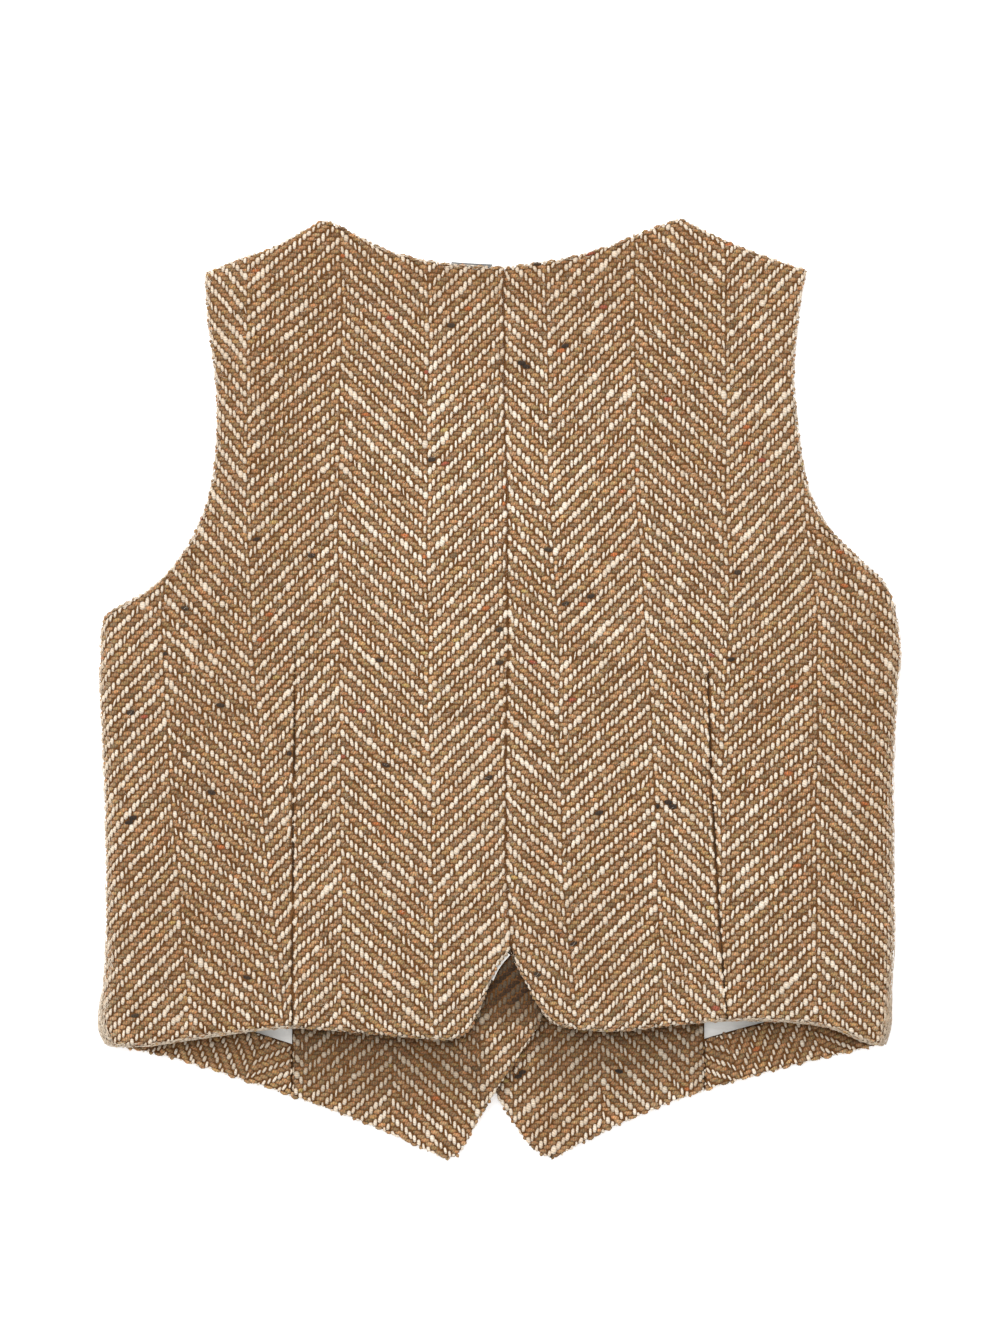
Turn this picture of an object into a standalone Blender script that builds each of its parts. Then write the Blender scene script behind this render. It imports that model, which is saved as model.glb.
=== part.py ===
# A cropped tweed waistcoat that lies flat on a table with its back up.
#
# X runs across the garment, Y from the hem to the neck, and Z up from the table.
# The origin is on the table, under the middle of the garment's outline.
# Left is the wearer's left and lies at -X. Every length below is in millimetres.
#
# Each panel is one wall of cloth: a four-sided grid laid between its cut edges, raised
# to the height at which it lies, and given its thickness along the surface's normal.

import bmesh
import bpy
import numpy as np

MM = 0.001

# The cloth and how it is put together.
CLOTH = 2.4  # wall of the tweed
LINING = 0.9  # wall of the lining
GAP = 0.3  # between two pieces that are sewn or lie together
LAYER = CLOTH + GAP
TURNED_EDGE = 3.2  # outer radius of a turned edge of the back
FOLD_SHARE = 0.58  # how much of a fold's height the back takes round, above the seam
EDGE_SOFTENING = 0.8  # how far a front's edge rises from the table
EDGE_WIDTH = 2.5  # over what width it does so
SEAM_SINK = 0.9  # depth of the centre seam's groove
SEAM_WIDTH = 4.0

# The fronts and what is sewn to their inside.
LAP = 25.0  # how far each front runs past the centre
CENTRE = 3.0  # x of the buttons, on the fronts' centre line
LAP_SLOPE = 24.0  # width over which the left front climbs onto the right one
ARMHOLE_SCOOP = 7.0  # how much deeper a front's armhole is cut than the back's
LAP_CLEARANCE = 0.5  # looser than a seam
LAP_LEAD = 5.0  # how far before the right front's edge the left one is at full height
FACING_TOP = -115.0  # where facing and lining end, out of sight under the back
FACING_EDGE = {"left": -116.2, "right": 114.8}
FACING_SHOULDER = 0.55  # where the line of that edge meets the shoulder
HEM_FACING_HEIGHT = 28.0

# The buttons, under the fronts.
BUTTON_DIAMETER = 20.0
BUTTON_THICKNESS = 3.0
BUTTON_PLACES = (-148.0, -88.0, -28.0, 32.0)  # y of each
BUTTON_RIM = 2.2
BUTTON_DISH = 0.6
BUTTON_HOLE = 1.9
BUTTON_HOLE_SPACING = 3.6

# The laps lie on the buttons as one low ridge: full height inside the first numbers, and
# on the table outside the second.
RIDGE_ACROSS = (27.0, 52.0)
RIDGE_BELOW = (-172.0, -215.0)
RIDGE_ABOVE = (55.0, 110.0)

# Slivers of lining that show past the back's edges.
SLIVER_OUT = 1.3
SLIVER_IN = 11.0
VENT_SLIVER_BOTTOM = -162.0
NECK_SLIVER = (-27.0, -4.0)

# Height of the back's outer surface over the table, by how far up the garment it is:
# at the centre back, half way out and at the side.
BACK_HEIGHTS = {
    "y": (-200.0, -80.0, 40.0, 150.0, 250.0),
    "centre": (20.5, 18.0, 12.6, 7.5, 6.5),
    "middle": (17.0, 15.0, 12.0, 9.5, 9.0),
    "side": (15.5, 15.5, 13.5, 9.5, 9.0),
}
MIDDLE_X = 110.0
SIDE_X = 215.0

# The cut edges of each side as (x, y), in order round the garment from the centre back
# of the neck, over the shoulder, down the side and along the hem. The front's own edges
# start again at the side.
CENTRE_BACK = ((6.2, -145.9), (4.8, -118.0), (3.0, 0.0), (1.6, 100.0), (0.8, 200.0), (3.0, 236.3))
EDGES = {
    "left": {
        "neck": ((3.0, 236.3), (-32.0, 238.6), (-62.0, 245.6), (-83.0, 256.0), (-99.4, 263.6)),
        "shoulder": ((-99.4, 263.6), (-124.6, 249.2), (-148.0, 240.6), (-164.6, 233.5)),
        "armhole": (
            (-164.6, 233.5),
            (-163.4, 208.0),
            (-158.4, 165.0),
            (-159.6, 125.0),
            (-168.0, 93.0),
            (-188.0, 62.5),
            (-222.6, 40.0),
        ),
        "side": (
            (-222.6, 40.0),
            (-224.0, 5.0),
            (-221.0, -70.0),
            (-220.8, -150.0),
            (-224.4, -186.0),
            (-220.4, -199.4),
        ),
        "hem": (
            (-220.4, -199.4),
            (-195.7, -199.2),
            (-160.0, -194.0),
            (-117.0, -189.3),
            (-70.0, -192.4),
            (-33.0, -195.4),
            (-19.0, -192.0),
            (-12.0, -181.0),
            (-2.5, -157.4),
            (6.2, -145.9),
        ),
        "front hem": (
            (-220.4, -199.4),
            (-183.4, -207.2),
            (-133.0, -222.9),
            (-99.4, -234.4),
            (-65.8, -247.6),
            (-40.6, -259.0),
            (-30.5, -263.4),
            (-24.5, -262.4),
        ),
        "front edge": (
            (-24.5, -262.4),
            (-19.5, -257.0),
            (-15.4, -249.2),
            (-5.5, -231.0),
            (12.0, -204.0),
            (24.0, -184.0),
            (CENTRE + LAP, -160.0),
            (CENTRE + LAP, -60.0),
            (CENTRE + LAP, 35.0),
            (20.0, 66.0),
            (-38.0, 165.0),
            (-83.0, 232.0),
            (-99.4, 263.6),
        ),
    },
    "right": {
        "neck": ((3.0, 236.3), (36.0, 241.2), (62.0, 248.4), (84.0, 257.6), (102.4, 263.8)),
        "shoulder": ((102.4, 263.8), (122.0, 254.0), (147.0, 243.8), (172.0, 235.0)),
        "armhole": (
            (172.0, 235.0),
            (167.8, 212.0),
            (165.0, 174.0),
            (168.0, 140.0),
            (173.2, 112.0),
            (184.0, 91.0),
            (202.6, 71.5),
            (215.0, 60.0),
            (222.6, 45.0),
        ),
        "side": (
            (222.6, 45.0),
            (224.8, 22.0),
            (222.6, -8.0),
            (220.8, -50.0),
            (221.0, -95.0),
            (221.2, -140.0),
            (219.4, -172.0),
            (219.0, -188.0),
            (216.0, -199.4),
        ),
        "hem": (
            (216.0, -199.4),
            (205.0, -197.4),
            (186.0, -189.8),
            (165.0, -186.2),
            (130.0, -185.2),
            (98.0, -187.4),
            (66.0, -190.8),
            (36.0, -188.4),
            (25.5, -182.0),
            (15.0, -165.0),
            (6.2, -145.9),
        ),
        "front hem": (
            (216.0, -199.4),
            (186.2, -206.1),
            (135.8, -219.0),
            (102.2, -229.8),
            (68.6, -243.8),
            (43.4, -256.4),
            (32.0, -262.8),
            (25.0, -262.0),
        ),
        "front edge": (
            (25.0, -262.0),
            (18.4, -257.6),
            (9.8, -247.0),
            (-3.0, -226.0),
            (-12.0, -204.0),
            (-18.5, -184.0),
            (CENTRE - LAP, -160.0),
            (CENTRE - LAP, -60.0),
            (CENTRE - LAP, 35.0),
            (-14.0, 66.0),
            (44.0, 165.0),
            (88.0, 232.0),
            (102.4, 263.8),
        ),
    },
}
OUTWARD = {"left": 1.0, "right": -1.0}  # which way round the edges run
CURVE_STEPS = 12  # straight steps of a curve between two of its points
ROLL_LINES = 4  # grid lines over the roll at a side fold
VENT_SHARE = 0.74  # share of the back's hem before its rounded corner at the vent


# ---------------------------------------------------------------- curves and heights


def smooth_line(points):
    """A curve through the points, as close steps. Its tangent at a point is half the
    chord between that point's neighbours."""
    p = np.array(points, float)
    before = np.vstack([2 * p[0] - p[1], p[:-1]])
    after = np.vstack([p[1:], 2 * p[-1] - p[-2]])
    slope = (after - before) / 2
    t = np.linspace(0, 1, CURVE_STEPS, endpoint=False)[None, :, None]
    start, end = p[:-1, None], p[1:, None]
    steps = (
        start * (2 * t**3 - 3 * t**2 + 1)
        + slope[:-1, None] * (t**3 - 2 * t**2 + t)
        + end * (3 * t**2 - 2 * t**3)
        + slope[1:, None] * (t**3 - t**2)
    )
    return np.vstack([steps.reshape(-1, 2), p[-1:]])


def walked(line):
    """How far along the line each of its points is."""
    return np.concatenate([[0.0], np.cumsum(np.hypot(*np.diff(line, axis=0).T))])


def sample(line, shares):
    """Points at these shares of the line's length."""
    far = walked(line)
    at = np.asarray(shares) * far[-1]
    return np.stack([np.interp(at, far, line[:, 0]), np.interp(at, far, line[:, 1])], axis=1)


def joined(first, second, corner, shares):
    """Points along two lines that meet: shares below the corner lie on the first."""
    shares = np.asarray(shares)
    on_first = sample(first, np.clip(shares / corner, 0, 1))
    on_second = sample(second, np.clip((shares - corner) / (1 - corner), 0, 1))
    return np.where((shares <= corner)[:, None], on_first, on_second)


def right_hand(line):
    """The unit normal to the right of the line at each of its points."""
    along = np.gradient(line, axis=0)
    along /= np.maximum(np.hypot(*along.T), 1e-9)[:, None]
    return np.stack([along[:, 1], -along[:, 0]], axis=1)


def moved_in(line, side, distance):
    """The line moved into the panel by this distance."""
    return line - right_hand(line) * OUTWARD[side] * distance


def stretch(line, axis, start, end):
    """The stretch of the line whose x (axis 0) or y (axis 1) runs from start to end."""
    low, high = min(start, end), max(start, end)
    order = np.argsort(line[:, axis], kind="stable")
    other = line[order, 1 - axis]
    along = line[order, axis]
    inside = along[(along > low + 0.5) & (along < high - 0.5)]
    values = np.concatenate([[low], inside, [high]])
    if start > end:
        values = values[::-1]
    across = np.interp(values, along, other)
    return np.stack([values, across] if axis == 0 else [across, values], axis=1)


def nearest(points, line, side):
    """Each point's distance to the line, and the line's outward normal there."""
    start, end = line[:-1], line[1:]
    along = end - start
    length_squared = np.maximum((along**2).sum(axis=1), 1e-12)
    to_point = points[:, None] - start[None]
    share = np.clip((to_point * along).sum(axis=2) / length_squared, 0, 1)
    apart = np.hypot(*np.moveaxis(to_point - share[..., None] * along, 2, 0))
    which = apart.argmin(axis=1)
    unit = along / np.sqrt(length_squared)[:, None]
    normal = np.stack([unit[:, 1], -unit[:, 0]], axis=1)[which] * OUTWARD[side]
    distance = apart[np.arange(len(points)), which]
    return np.where(distance < 0.02, 0.0, distance), normal


def ease(value):
    """0 below 0, 1 above 1, and a smooth S between."""
    value = np.clip(value, 0, 1)
    return value * value * (3 - 2 * value)


def back_height(points):
    """Height of the back's outer surface: a parabola across through three heights, each
    read from its column at this y."""
    known = np.array(BACK_HEIGHTS["y"])
    y = np.clip(points[:, 1], known[0], known[-1])
    columns = []
    for name in ("centre", "middle", "side"):
        line = smooth_line(np.stack([known, BACK_HEIGHTS[name]], axis=1))
        columns.append(np.interp(y, line[:, 0], line[:, 1]))
    centre, middle, side = columns
    x = np.minimum(np.abs(points[:, 0]), SIDE_X)
    at_centre = (x - MIDDLE_X) * (x - SIDE_X) / (MIDDLE_X * SIDE_X)
    at_middle = x * (x - SIDE_X) / (MIDDLE_X * (MIDDLE_X - SIDE_X))
    at_side = x * (x - MIDDLE_X) / (SIDE_X * (SIDE_X - MIDDLE_X))
    return centre * at_centre + middle * at_middle + side * at_side


def within(value, full, none):
    """1 on the side of full, 0 on the side of none, and a smooth S between them."""
    return ease((none - value) / (none - full))


def over_buttons(points):
    """How far the laps over the buttons are lifted off the table."""
    across = within(np.abs(points[:, 0] - CENTRE), *RIDGE_ACROSS)
    along = within(points[:, 1], *RIDGE_BELOW) * within(points[:, 1], *RIDGE_ABOVE)
    return across * along * (BUTTON_THICKNESS + GAP)


def front_underside(points, side):
    """Height of a front's outer side, which is its underside here. The right front lies
    on the table and the left one climbs over it, and over its facing low down."""
    lift = over_buttons(points)
    if side == "right":
        return lift
    edge = smooth_line(EDGES["right"]["front edge"])
    edge_x = np.interp(points[:, 1], edge[:, 1], edge[:, 0]) - LAP_LEAD
    onto = within(points[:, 0], edge_x, edge_x - LAP_SLOPE)
    layers = 1 + within(points[:, 1], FACING_TOP, FACING_TOP + 50)
    return lift + onto * (layers * LAYER + LAP_CLEARANCE)


# ------------------------------------------------------------------- walls of cloth


def shares_of(line):
    """How far along the line each of its points is, from 0 to 1."""
    return walked(line) / walked(line)[-1]


def patch(bottom, top, left, right):
    """A grid laid between four edges: the blend of both pairs, less the blend of the
    four corners. Opposite edges have as many points as each other."""
    u = shares_of(bottom)[:, None, None]
    v = shares_of(left)[None, :, None]
    between = (1 - v) * bottom[:, None] + v * top[:, None]
    between = between + (1 - u) * left[None] + u * right[None]
    corners = (1 - u) * (1 - v) * bottom[0] + u * (1 - v) * bottom[-1]
    corners = corners + (1 - u) * v * top[0] + u * v * top[-1]
    return between - corners


def spaced(count, first=0.0, last=0.0):
    """Shares from 0 to 1 in this many even steps. An end with a roll of some share's
    width has four closer lines over that width."""
    roll = np.array([0.0, 0.08, 0.3, 0.62])  # as many as ROLL_LINES
    start = roll * first
    end = 1 - roll * last
    return np.unique(np.concatenate([start, np.linspace(first, 1 - last, count + 1), end]))


def wall(name, outer, inner, colour, roughness):
    """One closed solid between two grids of points, in metres."""
    rows, columns = outer.shape[:2]
    count = rows * columns
    number = np.arange(count).reshape(rows, columns)
    first = np.stack([number[:-1, :-1], number[1:, :-1], number[1:, 1:]], axis=-1)
    second = np.stack([number[:-1, :-1], number[1:, 1:], number[:-1, 1:]], axis=-1)
    halves = np.concatenate([first.reshape(-1, 3), second.reshape(-1, 3)])
    around = np.concatenate([number[:-1, 0], number[-1, :-1], number[:0:-1, -1], number[0, :0:-1]])
    following = np.roll(around, -1)
    rim = np.concatenate(
        [
            np.stack([around, following, following + count], axis=-1),
            np.stack([around, following + count, around + count], axis=-1),
        ]
    )
    faces = np.concatenate([halves, halves[:, ::-1] + count, rim])
    points = np.concatenate([outer.reshape(-1, 3), inner.reshape(-1, 3)]) * MM
    mesh = bpy.data.meshes.new(name)
    mesh.from_pydata(points.tolist(), [], faces.tolist())
    return finished(name, mesh, colour, roughness)


def finished(name, mesh, colour, roughness):
    """An object of this mesh, with its faces outward, shaded smooth and coloured."""
    edit = bmesh.new()
    edit.from_mesh(mesh)
    bmesh.ops.recalc_face_normals(edit, faces=edit.faces)
    edit.to_mesh(mesh)
    edit.free()
    mesh.shade_smooth()
    mesh.set_sharp_from_angle(angle=0.8)
    material = bpy.data.materials.new(name)
    material.use_nodes = True
    shader = material.node_tree.nodes["Principled BSDF"]
    shader.inputs["Base Color"].default_value = (*colour, 1.0)
    shader.inputs["Roughness"].default_value = roughness
    mesh.materials.append(material)
    obj = bpy.data.objects.new(name, mesh)
    bpy.context.collection.objects.link(obj)
    return obj


def rolled(points, height, rolls, drops, side, wall_width, upward):
    """The outer and inner points of a wall whose edges roll away from its outer side.

    A roll is a quarter circle: at distance d from an edge of radius r the surface has
    turned by the angle whose sine is 1 - d / r, and has sunk by r less its cosine.
    A drop only sinks the outer side near an edge. Upward is 1 for a wall whose outer
    side is on top, and -1 for one that lies face down."""
    flat = points.reshape(-1, 2)
    sunk = np.zeros(len(flat))
    least_cosine = np.ones(len(flat))
    shift = np.zeros((len(flat), 2))
    shared = np.ones(len(flat))
    before = []
    for line, radius in rolls:
        distance, normal = nearest(flat, line, side)
        sine = np.clip(1 - distance / radius, 0, 1)
        cosine = np.sqrt(1 - sine**2)
        sunk = np.maximum(sunk, radius * (1 - cosine))
        least_cosine = np.minimum(least_cosine, cosine)
        shift = shift + sine[:, None] * normal
        for other_sine, other_normal in before:
            shared = shared + sine * other_sine * (normal * other_normal).sum(axis=1)
        before.append((sine, normal))
    softened = np.zeros(len(flat))
    for line, depth, width in drops:
        distance, _ = nearest(flat, line, side)
        softened = np.maximum(softened, depth * np.clip(1 - distance / width, 0, 1) ** 2)
    outer_z = height - upward * np.maximum(sunk, softened)
    inner_z = height - upward * (sunk + wall_width * least_cosine)
    inner_flat = flat - wall_width * shift / shared[:, None]
    shape = points.shape[:2] + (3,)
    outer = np.column_stack([flat, outer_z]).reshape(shape)
    inner = np.column_stack([inner_flat, inner_z]).reshape(shape)
    return outer, inner


def laid_on(name, under, wall_width, trims, colour, roughness, soft_lines=()):
    """A piece that lies on the points of the piece under it, moved up by the gap. Trims
    names the edges that leave room for a neighbour: first or last, across or up."""
    points = under.copy()
    for axis, end in trims:
        rows = np.moveaxis(points, axis, 0)
        edge, inside = (0, 1) if end == "first" else (-1, -2)
        step = rows[inside] - rows[edge]
        length = np.linalg.norm(step, axis=-1, keepdims=True)
        rows[edge] = rows[edge] + step / length * GAP / 2
    lower = points + np.array([0.0, 0.0, GAP])
    flat = lower[..., :2].reshape(-1, 2)
    soft = np.zeros(len(flat))
    for line in soft_lines:
        distance, _ = nearest(flat, line, "left")
        soft = np.maximum(soft, EDGE_SOFTENING * np.clip(1 - distance / EDGE_WIDTH, 0, 1) ** 2)
    upper = lower.copy()
    upper[..., 2] += wall_width - soft.reshape(lower.shape[:2])
    return wall(name, upper, lower, colour, roughness)


# ----------------------------------------------------------------------- the pieces

TWEED = (0.44, 0.33, 0.24)
SATIN = (0.86, 0.85, 0.83)
HORN = (0.10, 0.065, 0.045)


def back(side):
    """Half of the back, from the centre seam to the side seam, with a turned hem,
    armhole and neck. It goes round the side and shoulder folds to the seams below."""
    edges = {name: smooth_line(points) for name, points in EDGES[side].items()}
    seam = smooth_line(CENTRE_BACK) - np.array([OUTWARD[side] * GAP / 2, 0.0])
    for name, end in (("neck", 0), ("hem", -1)):
        edges[name] = edges[name].copy()
        edges[name][end] = seam[-1] if end == 0 else seam[0]
    to_vent = spaced(9, 0.055)
    across = np.concatenate([to_vent * VENT_SHARE, VENT_SHARE + spaced(7)[1:] * (1 - VENT_SHARE)])
    up = spaced(22, 0.018, 0.02)
    underarm, neck_point = 0.54, 0.42
    points = patch(
        sample(edges["hem"], across),
        joined(edges["shoulder"][::-1], edges["neck"][::-1], neck_point, across),
        joined(edges["side"][::-1], edges["armhole"][::-1], underarm, up),
        sample(seam, up),
    )
    height = back_height(points.reshape(-1, 2))
    fold = height * FOLD_SHARE
    rolls = (
        (edges["side"], fold),
        (edges["shoulder"], fold),
        (edges["armhole"], TURNED_EDGE),
        (edges["neck"], TURNED_EDGE),
        (edges["hem"], TURNED_EDGE),
    )
    drops = ((seam, SEAM_SINK, SEAM_WIDTH),)
    outer, inner = rolled(points, height, rolls, drops, side, CLOTH, 1)
    wall("back_" + side, outer, inner, TWEED, 0.9)


def split(line, axis, value):
    """The line in two, where its x (axis 0) or y (axis 1) first passes the value."""
    beyond = (line[:, axis] - value) * np.sign(line[-1, axis] - line[0, axis]) > 0
    after = int(np.argmax(beyond))
    start, end = line[after - 1], line[after]
    share = (value - start[axis]) / (end[axis] - start[axis])
    at = start + share * (end - start)
    return np.vstack([line[:after], at]), np.vstack([at, line[after:]])


def front_grid(side):
    """A front's grid of points, with a column on its facing's inner edge, and rows on
    the hem facing's upper edge and the facing's top. Both places are given back too."""
    edges = {name: smooth_line(points) for name, points in EDGES[side].items()}
    armhole = edges["armhole"]
    scoop = np.sin(np.pi * shares_of(armhole))[:, None] * ARMHOLE_SCOOP
    armhole = armhole - right_hand(armhole) * OUTWARD[side] * scoop
    outside, inside = spaced(9, 0.055), spaced(17)
    band, middle, upper = spaced(3), spaced(6), spaced(16, 0.0, 0.018)
    facing_x = FACING_EDGE[side]

    hem_side, hem_middle = split(edges["front hem"], 0, facing_x)
    band_line = moved_in(edges["front hem"], side, HEM_FACING_HEIGHT)
    band_line = split(band_line, 0, facing_x)[0]
    side_up = edges["side"][::-1]
    side_low, side_rest = split(side_up, 1, side_up[0, 1] + HEM_FACING_HEIGHT)
    side_middle, side_high = split(side_rest, 1, FACING_TOP)
    band_line = np.vstack([side_low[-1:], band_line[band_line[:, 1].argmax() + 1 :]])
    edge_low, edge_high = split(edges["front edge"], 1, FACING_TOP)
    shoulder = edges["shoulder"][::-1]
    shoulder_point = sample(shoulder, [FACING_SHOULDER])[0]
    shoulder_out, shoulder_in = split(shoulder, 0, shoulder_point[0])

    corner = np.array([facing_x, FACING_TOP])
    facing_low = sample(np.array([hem_middle[0], band_line[-1]]), band)
    facing_middle = sample(np.array([band_line[-1], corner]), middle)
    facing_high = sample(np.array([corner, shoulder_point]), upper)
    level_out = sample(np.array([side_middle[-1], corner]), outside)
    level_in = sample(np.array([corner, edge_low[-1]]), inside)
    band_points = sample(band_line, outside)
    facing_side = np.vstack([facing_low, facing_middle[1:]])

    low = patch(sample(hem_side, outside), band_points, sample(side_low, band), facing_low)
    between = patch(band_points, level_out, sample(side_middle, middle), facing_middle)
    underarm = 0.46
    side_points = joined(side_high, armhole[::-1], underarm, upper)
    high = patch(level_out, sample(shoulder_out, outside), side_points, facing_high)
    outer_half = np.concatenate([low, between[:, 1:], high[:, 1:]], axis=1)
    edge_points = sample(edge_low, shares_of(facing_side))
    low = patch(sample(hem_middle, inside), level_in, facing_side, edge_points)
    high = patch(level_in, sample(shoulder_in, inside), facing_high, sample(edge_high, upper))
    inner_half = np.concatenate([low, high[:, 1:]], axis=1)
    grid = np.concatenate([outer_half, inner_half[1:]], axis=0)
    places = {
        "facing": len(outside) - 1,
        "band": len(band) - 1,
        "top": len(facing_side) - 1,
    }
    edges["armhole"] = armhole
    return grid, places, edges


def front(side):
    """One front, face down on the table, from the side seam to the buttoned edge, with
    what is sewn to its inside: the tweed facing along the buttoned edge, the tweed
    strip along the hem, and the lining between them as far as the back leaves it open."""
    points, places, edges = front_grid(side)
    flat = points.reshape(-1, 2)
    height = front_underside(flat, side)
    fold = back_height(flat) * (1 - FOLD_SHARE) - GAP
    rolls = ((edges["side"], fold), (edges["shoulder"], fold))
    drops = tuple(
        (edges[name], EDGE_SOFTENING, EDGE_WIDTH) for name in ("front hem", "front edge", "armhole")
    )
    outer, inner = rolled(points, height, rolls, drops, side, CLOTH, -1)
    wall("front_" + side, outer, inner, TWEED, 0.9)

    inside, band, top = places["facing"], places["band"], places["top"]
    soft = (edges["front hem"], edges["front edge"])
    facing = inner[inside:, : top + 1]
    laid_on("front_facing_" + side, facing, CLOTH, ((0, "first"),), TWEED, 0.9, soft)
    strip = inner[ROLL_LINES : inside + 1, : band + 1]
    trims = ((0, "last"), (1, "last"))
    laid_on("hem_facing_" + side, strip, CLOTH, trims, TWEED, 0.9, soft[:1])
    open_part = inner[ROLL_LINES + 1 : inside + 1, band : top + 1]
    trims = ((0, "last"), (1, "first"))
    laid_on("front_lining_" + side, open_part, LINING, trims, SATIN, 0.45)


def back_sliver(name, line):
    """A strip of lining under an edge of the back, which shows a little past it."""
    along = spaced(8)
    outside = sample(moved_in(line, "left", -SLIVER_OUT), along)
    inside = sample(moved_in(line, "left", SLIVER_IN), along)
    across = np.linspace(0, 1, 4)[None, :, None]
    points = outside[:, None] * (1 - across) + inside[:, None] * across
    top = back_height(points.reshape(-1, 2)) - TURNED_EDGE - GAP
    upper = np.column_stack([points.reshape(-1, 2), top]).reshape(points.shape[:2] + (3,))
    wall(name, upper, upper - np.array([0.0, 0.0, LINING]), SATIN, 0.45)


def button(number, y):
    """A four-hole button, face down: a flat disc with a raised rim, whose rim is on the
    table."""
    radius = BUTTON_DIAMETER / 2
    profile = (
        (0.0, BUTTON_DISH),
        (radius - BUTTON_RIM - 0.8, BUTTON_DISH),
        (radius - BUTTON_RIM, 0.0),
        (radius - 0.6, 0.0),
        (radius, 0.6),
        (radius, BUTTON_THICKNESS - 0.8),
        (radius - 0.8, BUTTON_THICKNESS),
        (0.0, BUTTON_THICKNESS),
    )
    edit = bmesh.new()
    corners = [edit.verts.new((r * MM, 0.0, z * MM)) for r, z in profile]
    lines = [edit.edges.new(pair) for pair in zip(corners, corners[1:])]
    bmesh.ops.spin(
        edit,
        geom=corners + lines,
        axis=(0.0, 0.0, 1.0),
        cent=(0.0, 0.0, 0.0),
        angle=2 * np.pi,
        steps=24,
        use_merge=True,
    )
    bmesh.ops.remove_doubles(edit, verts=edit.verts, dist=1e-6)
    mesh = bpy.data.meshes.new("button_" + str(number))
    edit.to_mesh(mesh)
    edit.free()
    obj = finished("button_" + str(number), mesh, HORN, 0.35)
    obj.location = (CENTRE * MM, y * MM, 0.0)
    holes = bpy.data.objects.new("button_holes_" + str(number), hole_mesh())
    bpy.context.collection.objects.link(holes)
    holes.parent = obj
    holes.hide_render = True
    holes.display_type = "WIRE"
    cut = obj.modifiers.new("thread holes", "BOOLEAN")
    cut.object = holes


def hole_mesh():
    """Four round pins in a square, which cut a button's thread holes."""
    edit = bmesh.new()
    out = BUTTON_HOLE_SPACING / np.sqrt(2) * MM
    for turn in range(4):
        angle = np.pi / 4 + turn * np.pi / 2
        place = (np.cos(angle) * out, np.sin(angle) * out, BUTTON_THICKNESS / 2 * MM)
        made = bmesh.ops.create_cone(
            edit,
            cap_ends=True,
            segments=8,
            radius1=BUTTON_HOLE / 2 * MM,
            radius2=BUTTON_HOLE / 2 * MM,
            depth=BUTTON_THICKNESS * 2 * MM,
        )
        bmesh.ops.translate(edit, verts=made["verts"], vec=place)
    mesh = bpy.data.meshes.new("button holes")
    edit.to_mesh(mesh)
    edit.free()
    return mesh


def main():
    for obj in list(bpy.data.objects):
        bpy.data.objects.remove(obj, do_unlink=True)
    for side in ("left", "right"):
        back(side)
        front(side)
    hem = smooth_line(EDGES["left"]["hem"])
    vent_edge = stretch(hem[-30:], 1, VENT_SLIVER_BOTTOM, hem[-1, 1] - 1.5)
    back_sliver("back_vent_lining", vent_edge)
    neck = smooth_line(EDGES["left"]["neck"])
    back_sliver("back_neck_lining", stretch(neck, 0, NECK_SLIVER[1], NECK_SLIVER[0]))
    for number, y in enumerate(BUTTON_PLACES, start=1):
        button(number, y)


main()
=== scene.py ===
import bpy
import numpy as np
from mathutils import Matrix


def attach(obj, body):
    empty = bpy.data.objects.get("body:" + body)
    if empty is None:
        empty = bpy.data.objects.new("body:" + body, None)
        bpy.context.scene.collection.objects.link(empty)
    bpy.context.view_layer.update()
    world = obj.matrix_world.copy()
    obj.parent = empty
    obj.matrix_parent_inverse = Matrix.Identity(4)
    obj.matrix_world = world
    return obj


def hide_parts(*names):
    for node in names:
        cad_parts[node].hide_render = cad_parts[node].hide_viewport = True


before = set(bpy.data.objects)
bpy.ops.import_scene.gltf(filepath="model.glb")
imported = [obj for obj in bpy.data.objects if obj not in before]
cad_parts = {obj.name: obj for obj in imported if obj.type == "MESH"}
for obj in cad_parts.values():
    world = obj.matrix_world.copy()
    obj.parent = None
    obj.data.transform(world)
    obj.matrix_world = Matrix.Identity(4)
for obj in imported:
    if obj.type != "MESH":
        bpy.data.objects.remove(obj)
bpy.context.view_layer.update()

print("frame loaded:", len(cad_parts), "solids")

# Lengths are in millimetres until a mesh is made. X runs across the garment, Y from the hem to
# the neck and Z up from the table. Left is the wearer's left and lies at -X.
metre = 0.001
dice = np.random.default_rng(11)

cloth = {
    "wall": 2.4,          # the tweed
    "lining": 0.9,
    "gap": 0.3,           # between pieces that are sewn together or lie on each other
    "seamGap": 0.02,      # between the two halves of the back
    "turnedEdge": 3.2,    # outer radius of the back's turned hem, armholes and neck
    "frontEdge": 1.5,     # outer radius of a front's and a facing's edges
    "foldShare": 0.58,    # how much of a fold's height the back goes round, above the seam
    "ground": 0.95,       # how far the ground between the yarns lies under their tops
    "facingThinner": 0.05,
    # by how many radians the cloth turns at a fold and at the edges of the back and the front
    "foldTurn": 1.5,
    "backTurn": 1.95,
    "frontTurn": 1.8,
    # radius and turn of a facing's hidden edge, and of a hem facing's upper and inner edges
    "facingInner": (1.2, 1.5),
    "hemFacingUpper": (1.2, 1.4),
    "hemFacingInner": (1.0, 1.2),
}

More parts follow.
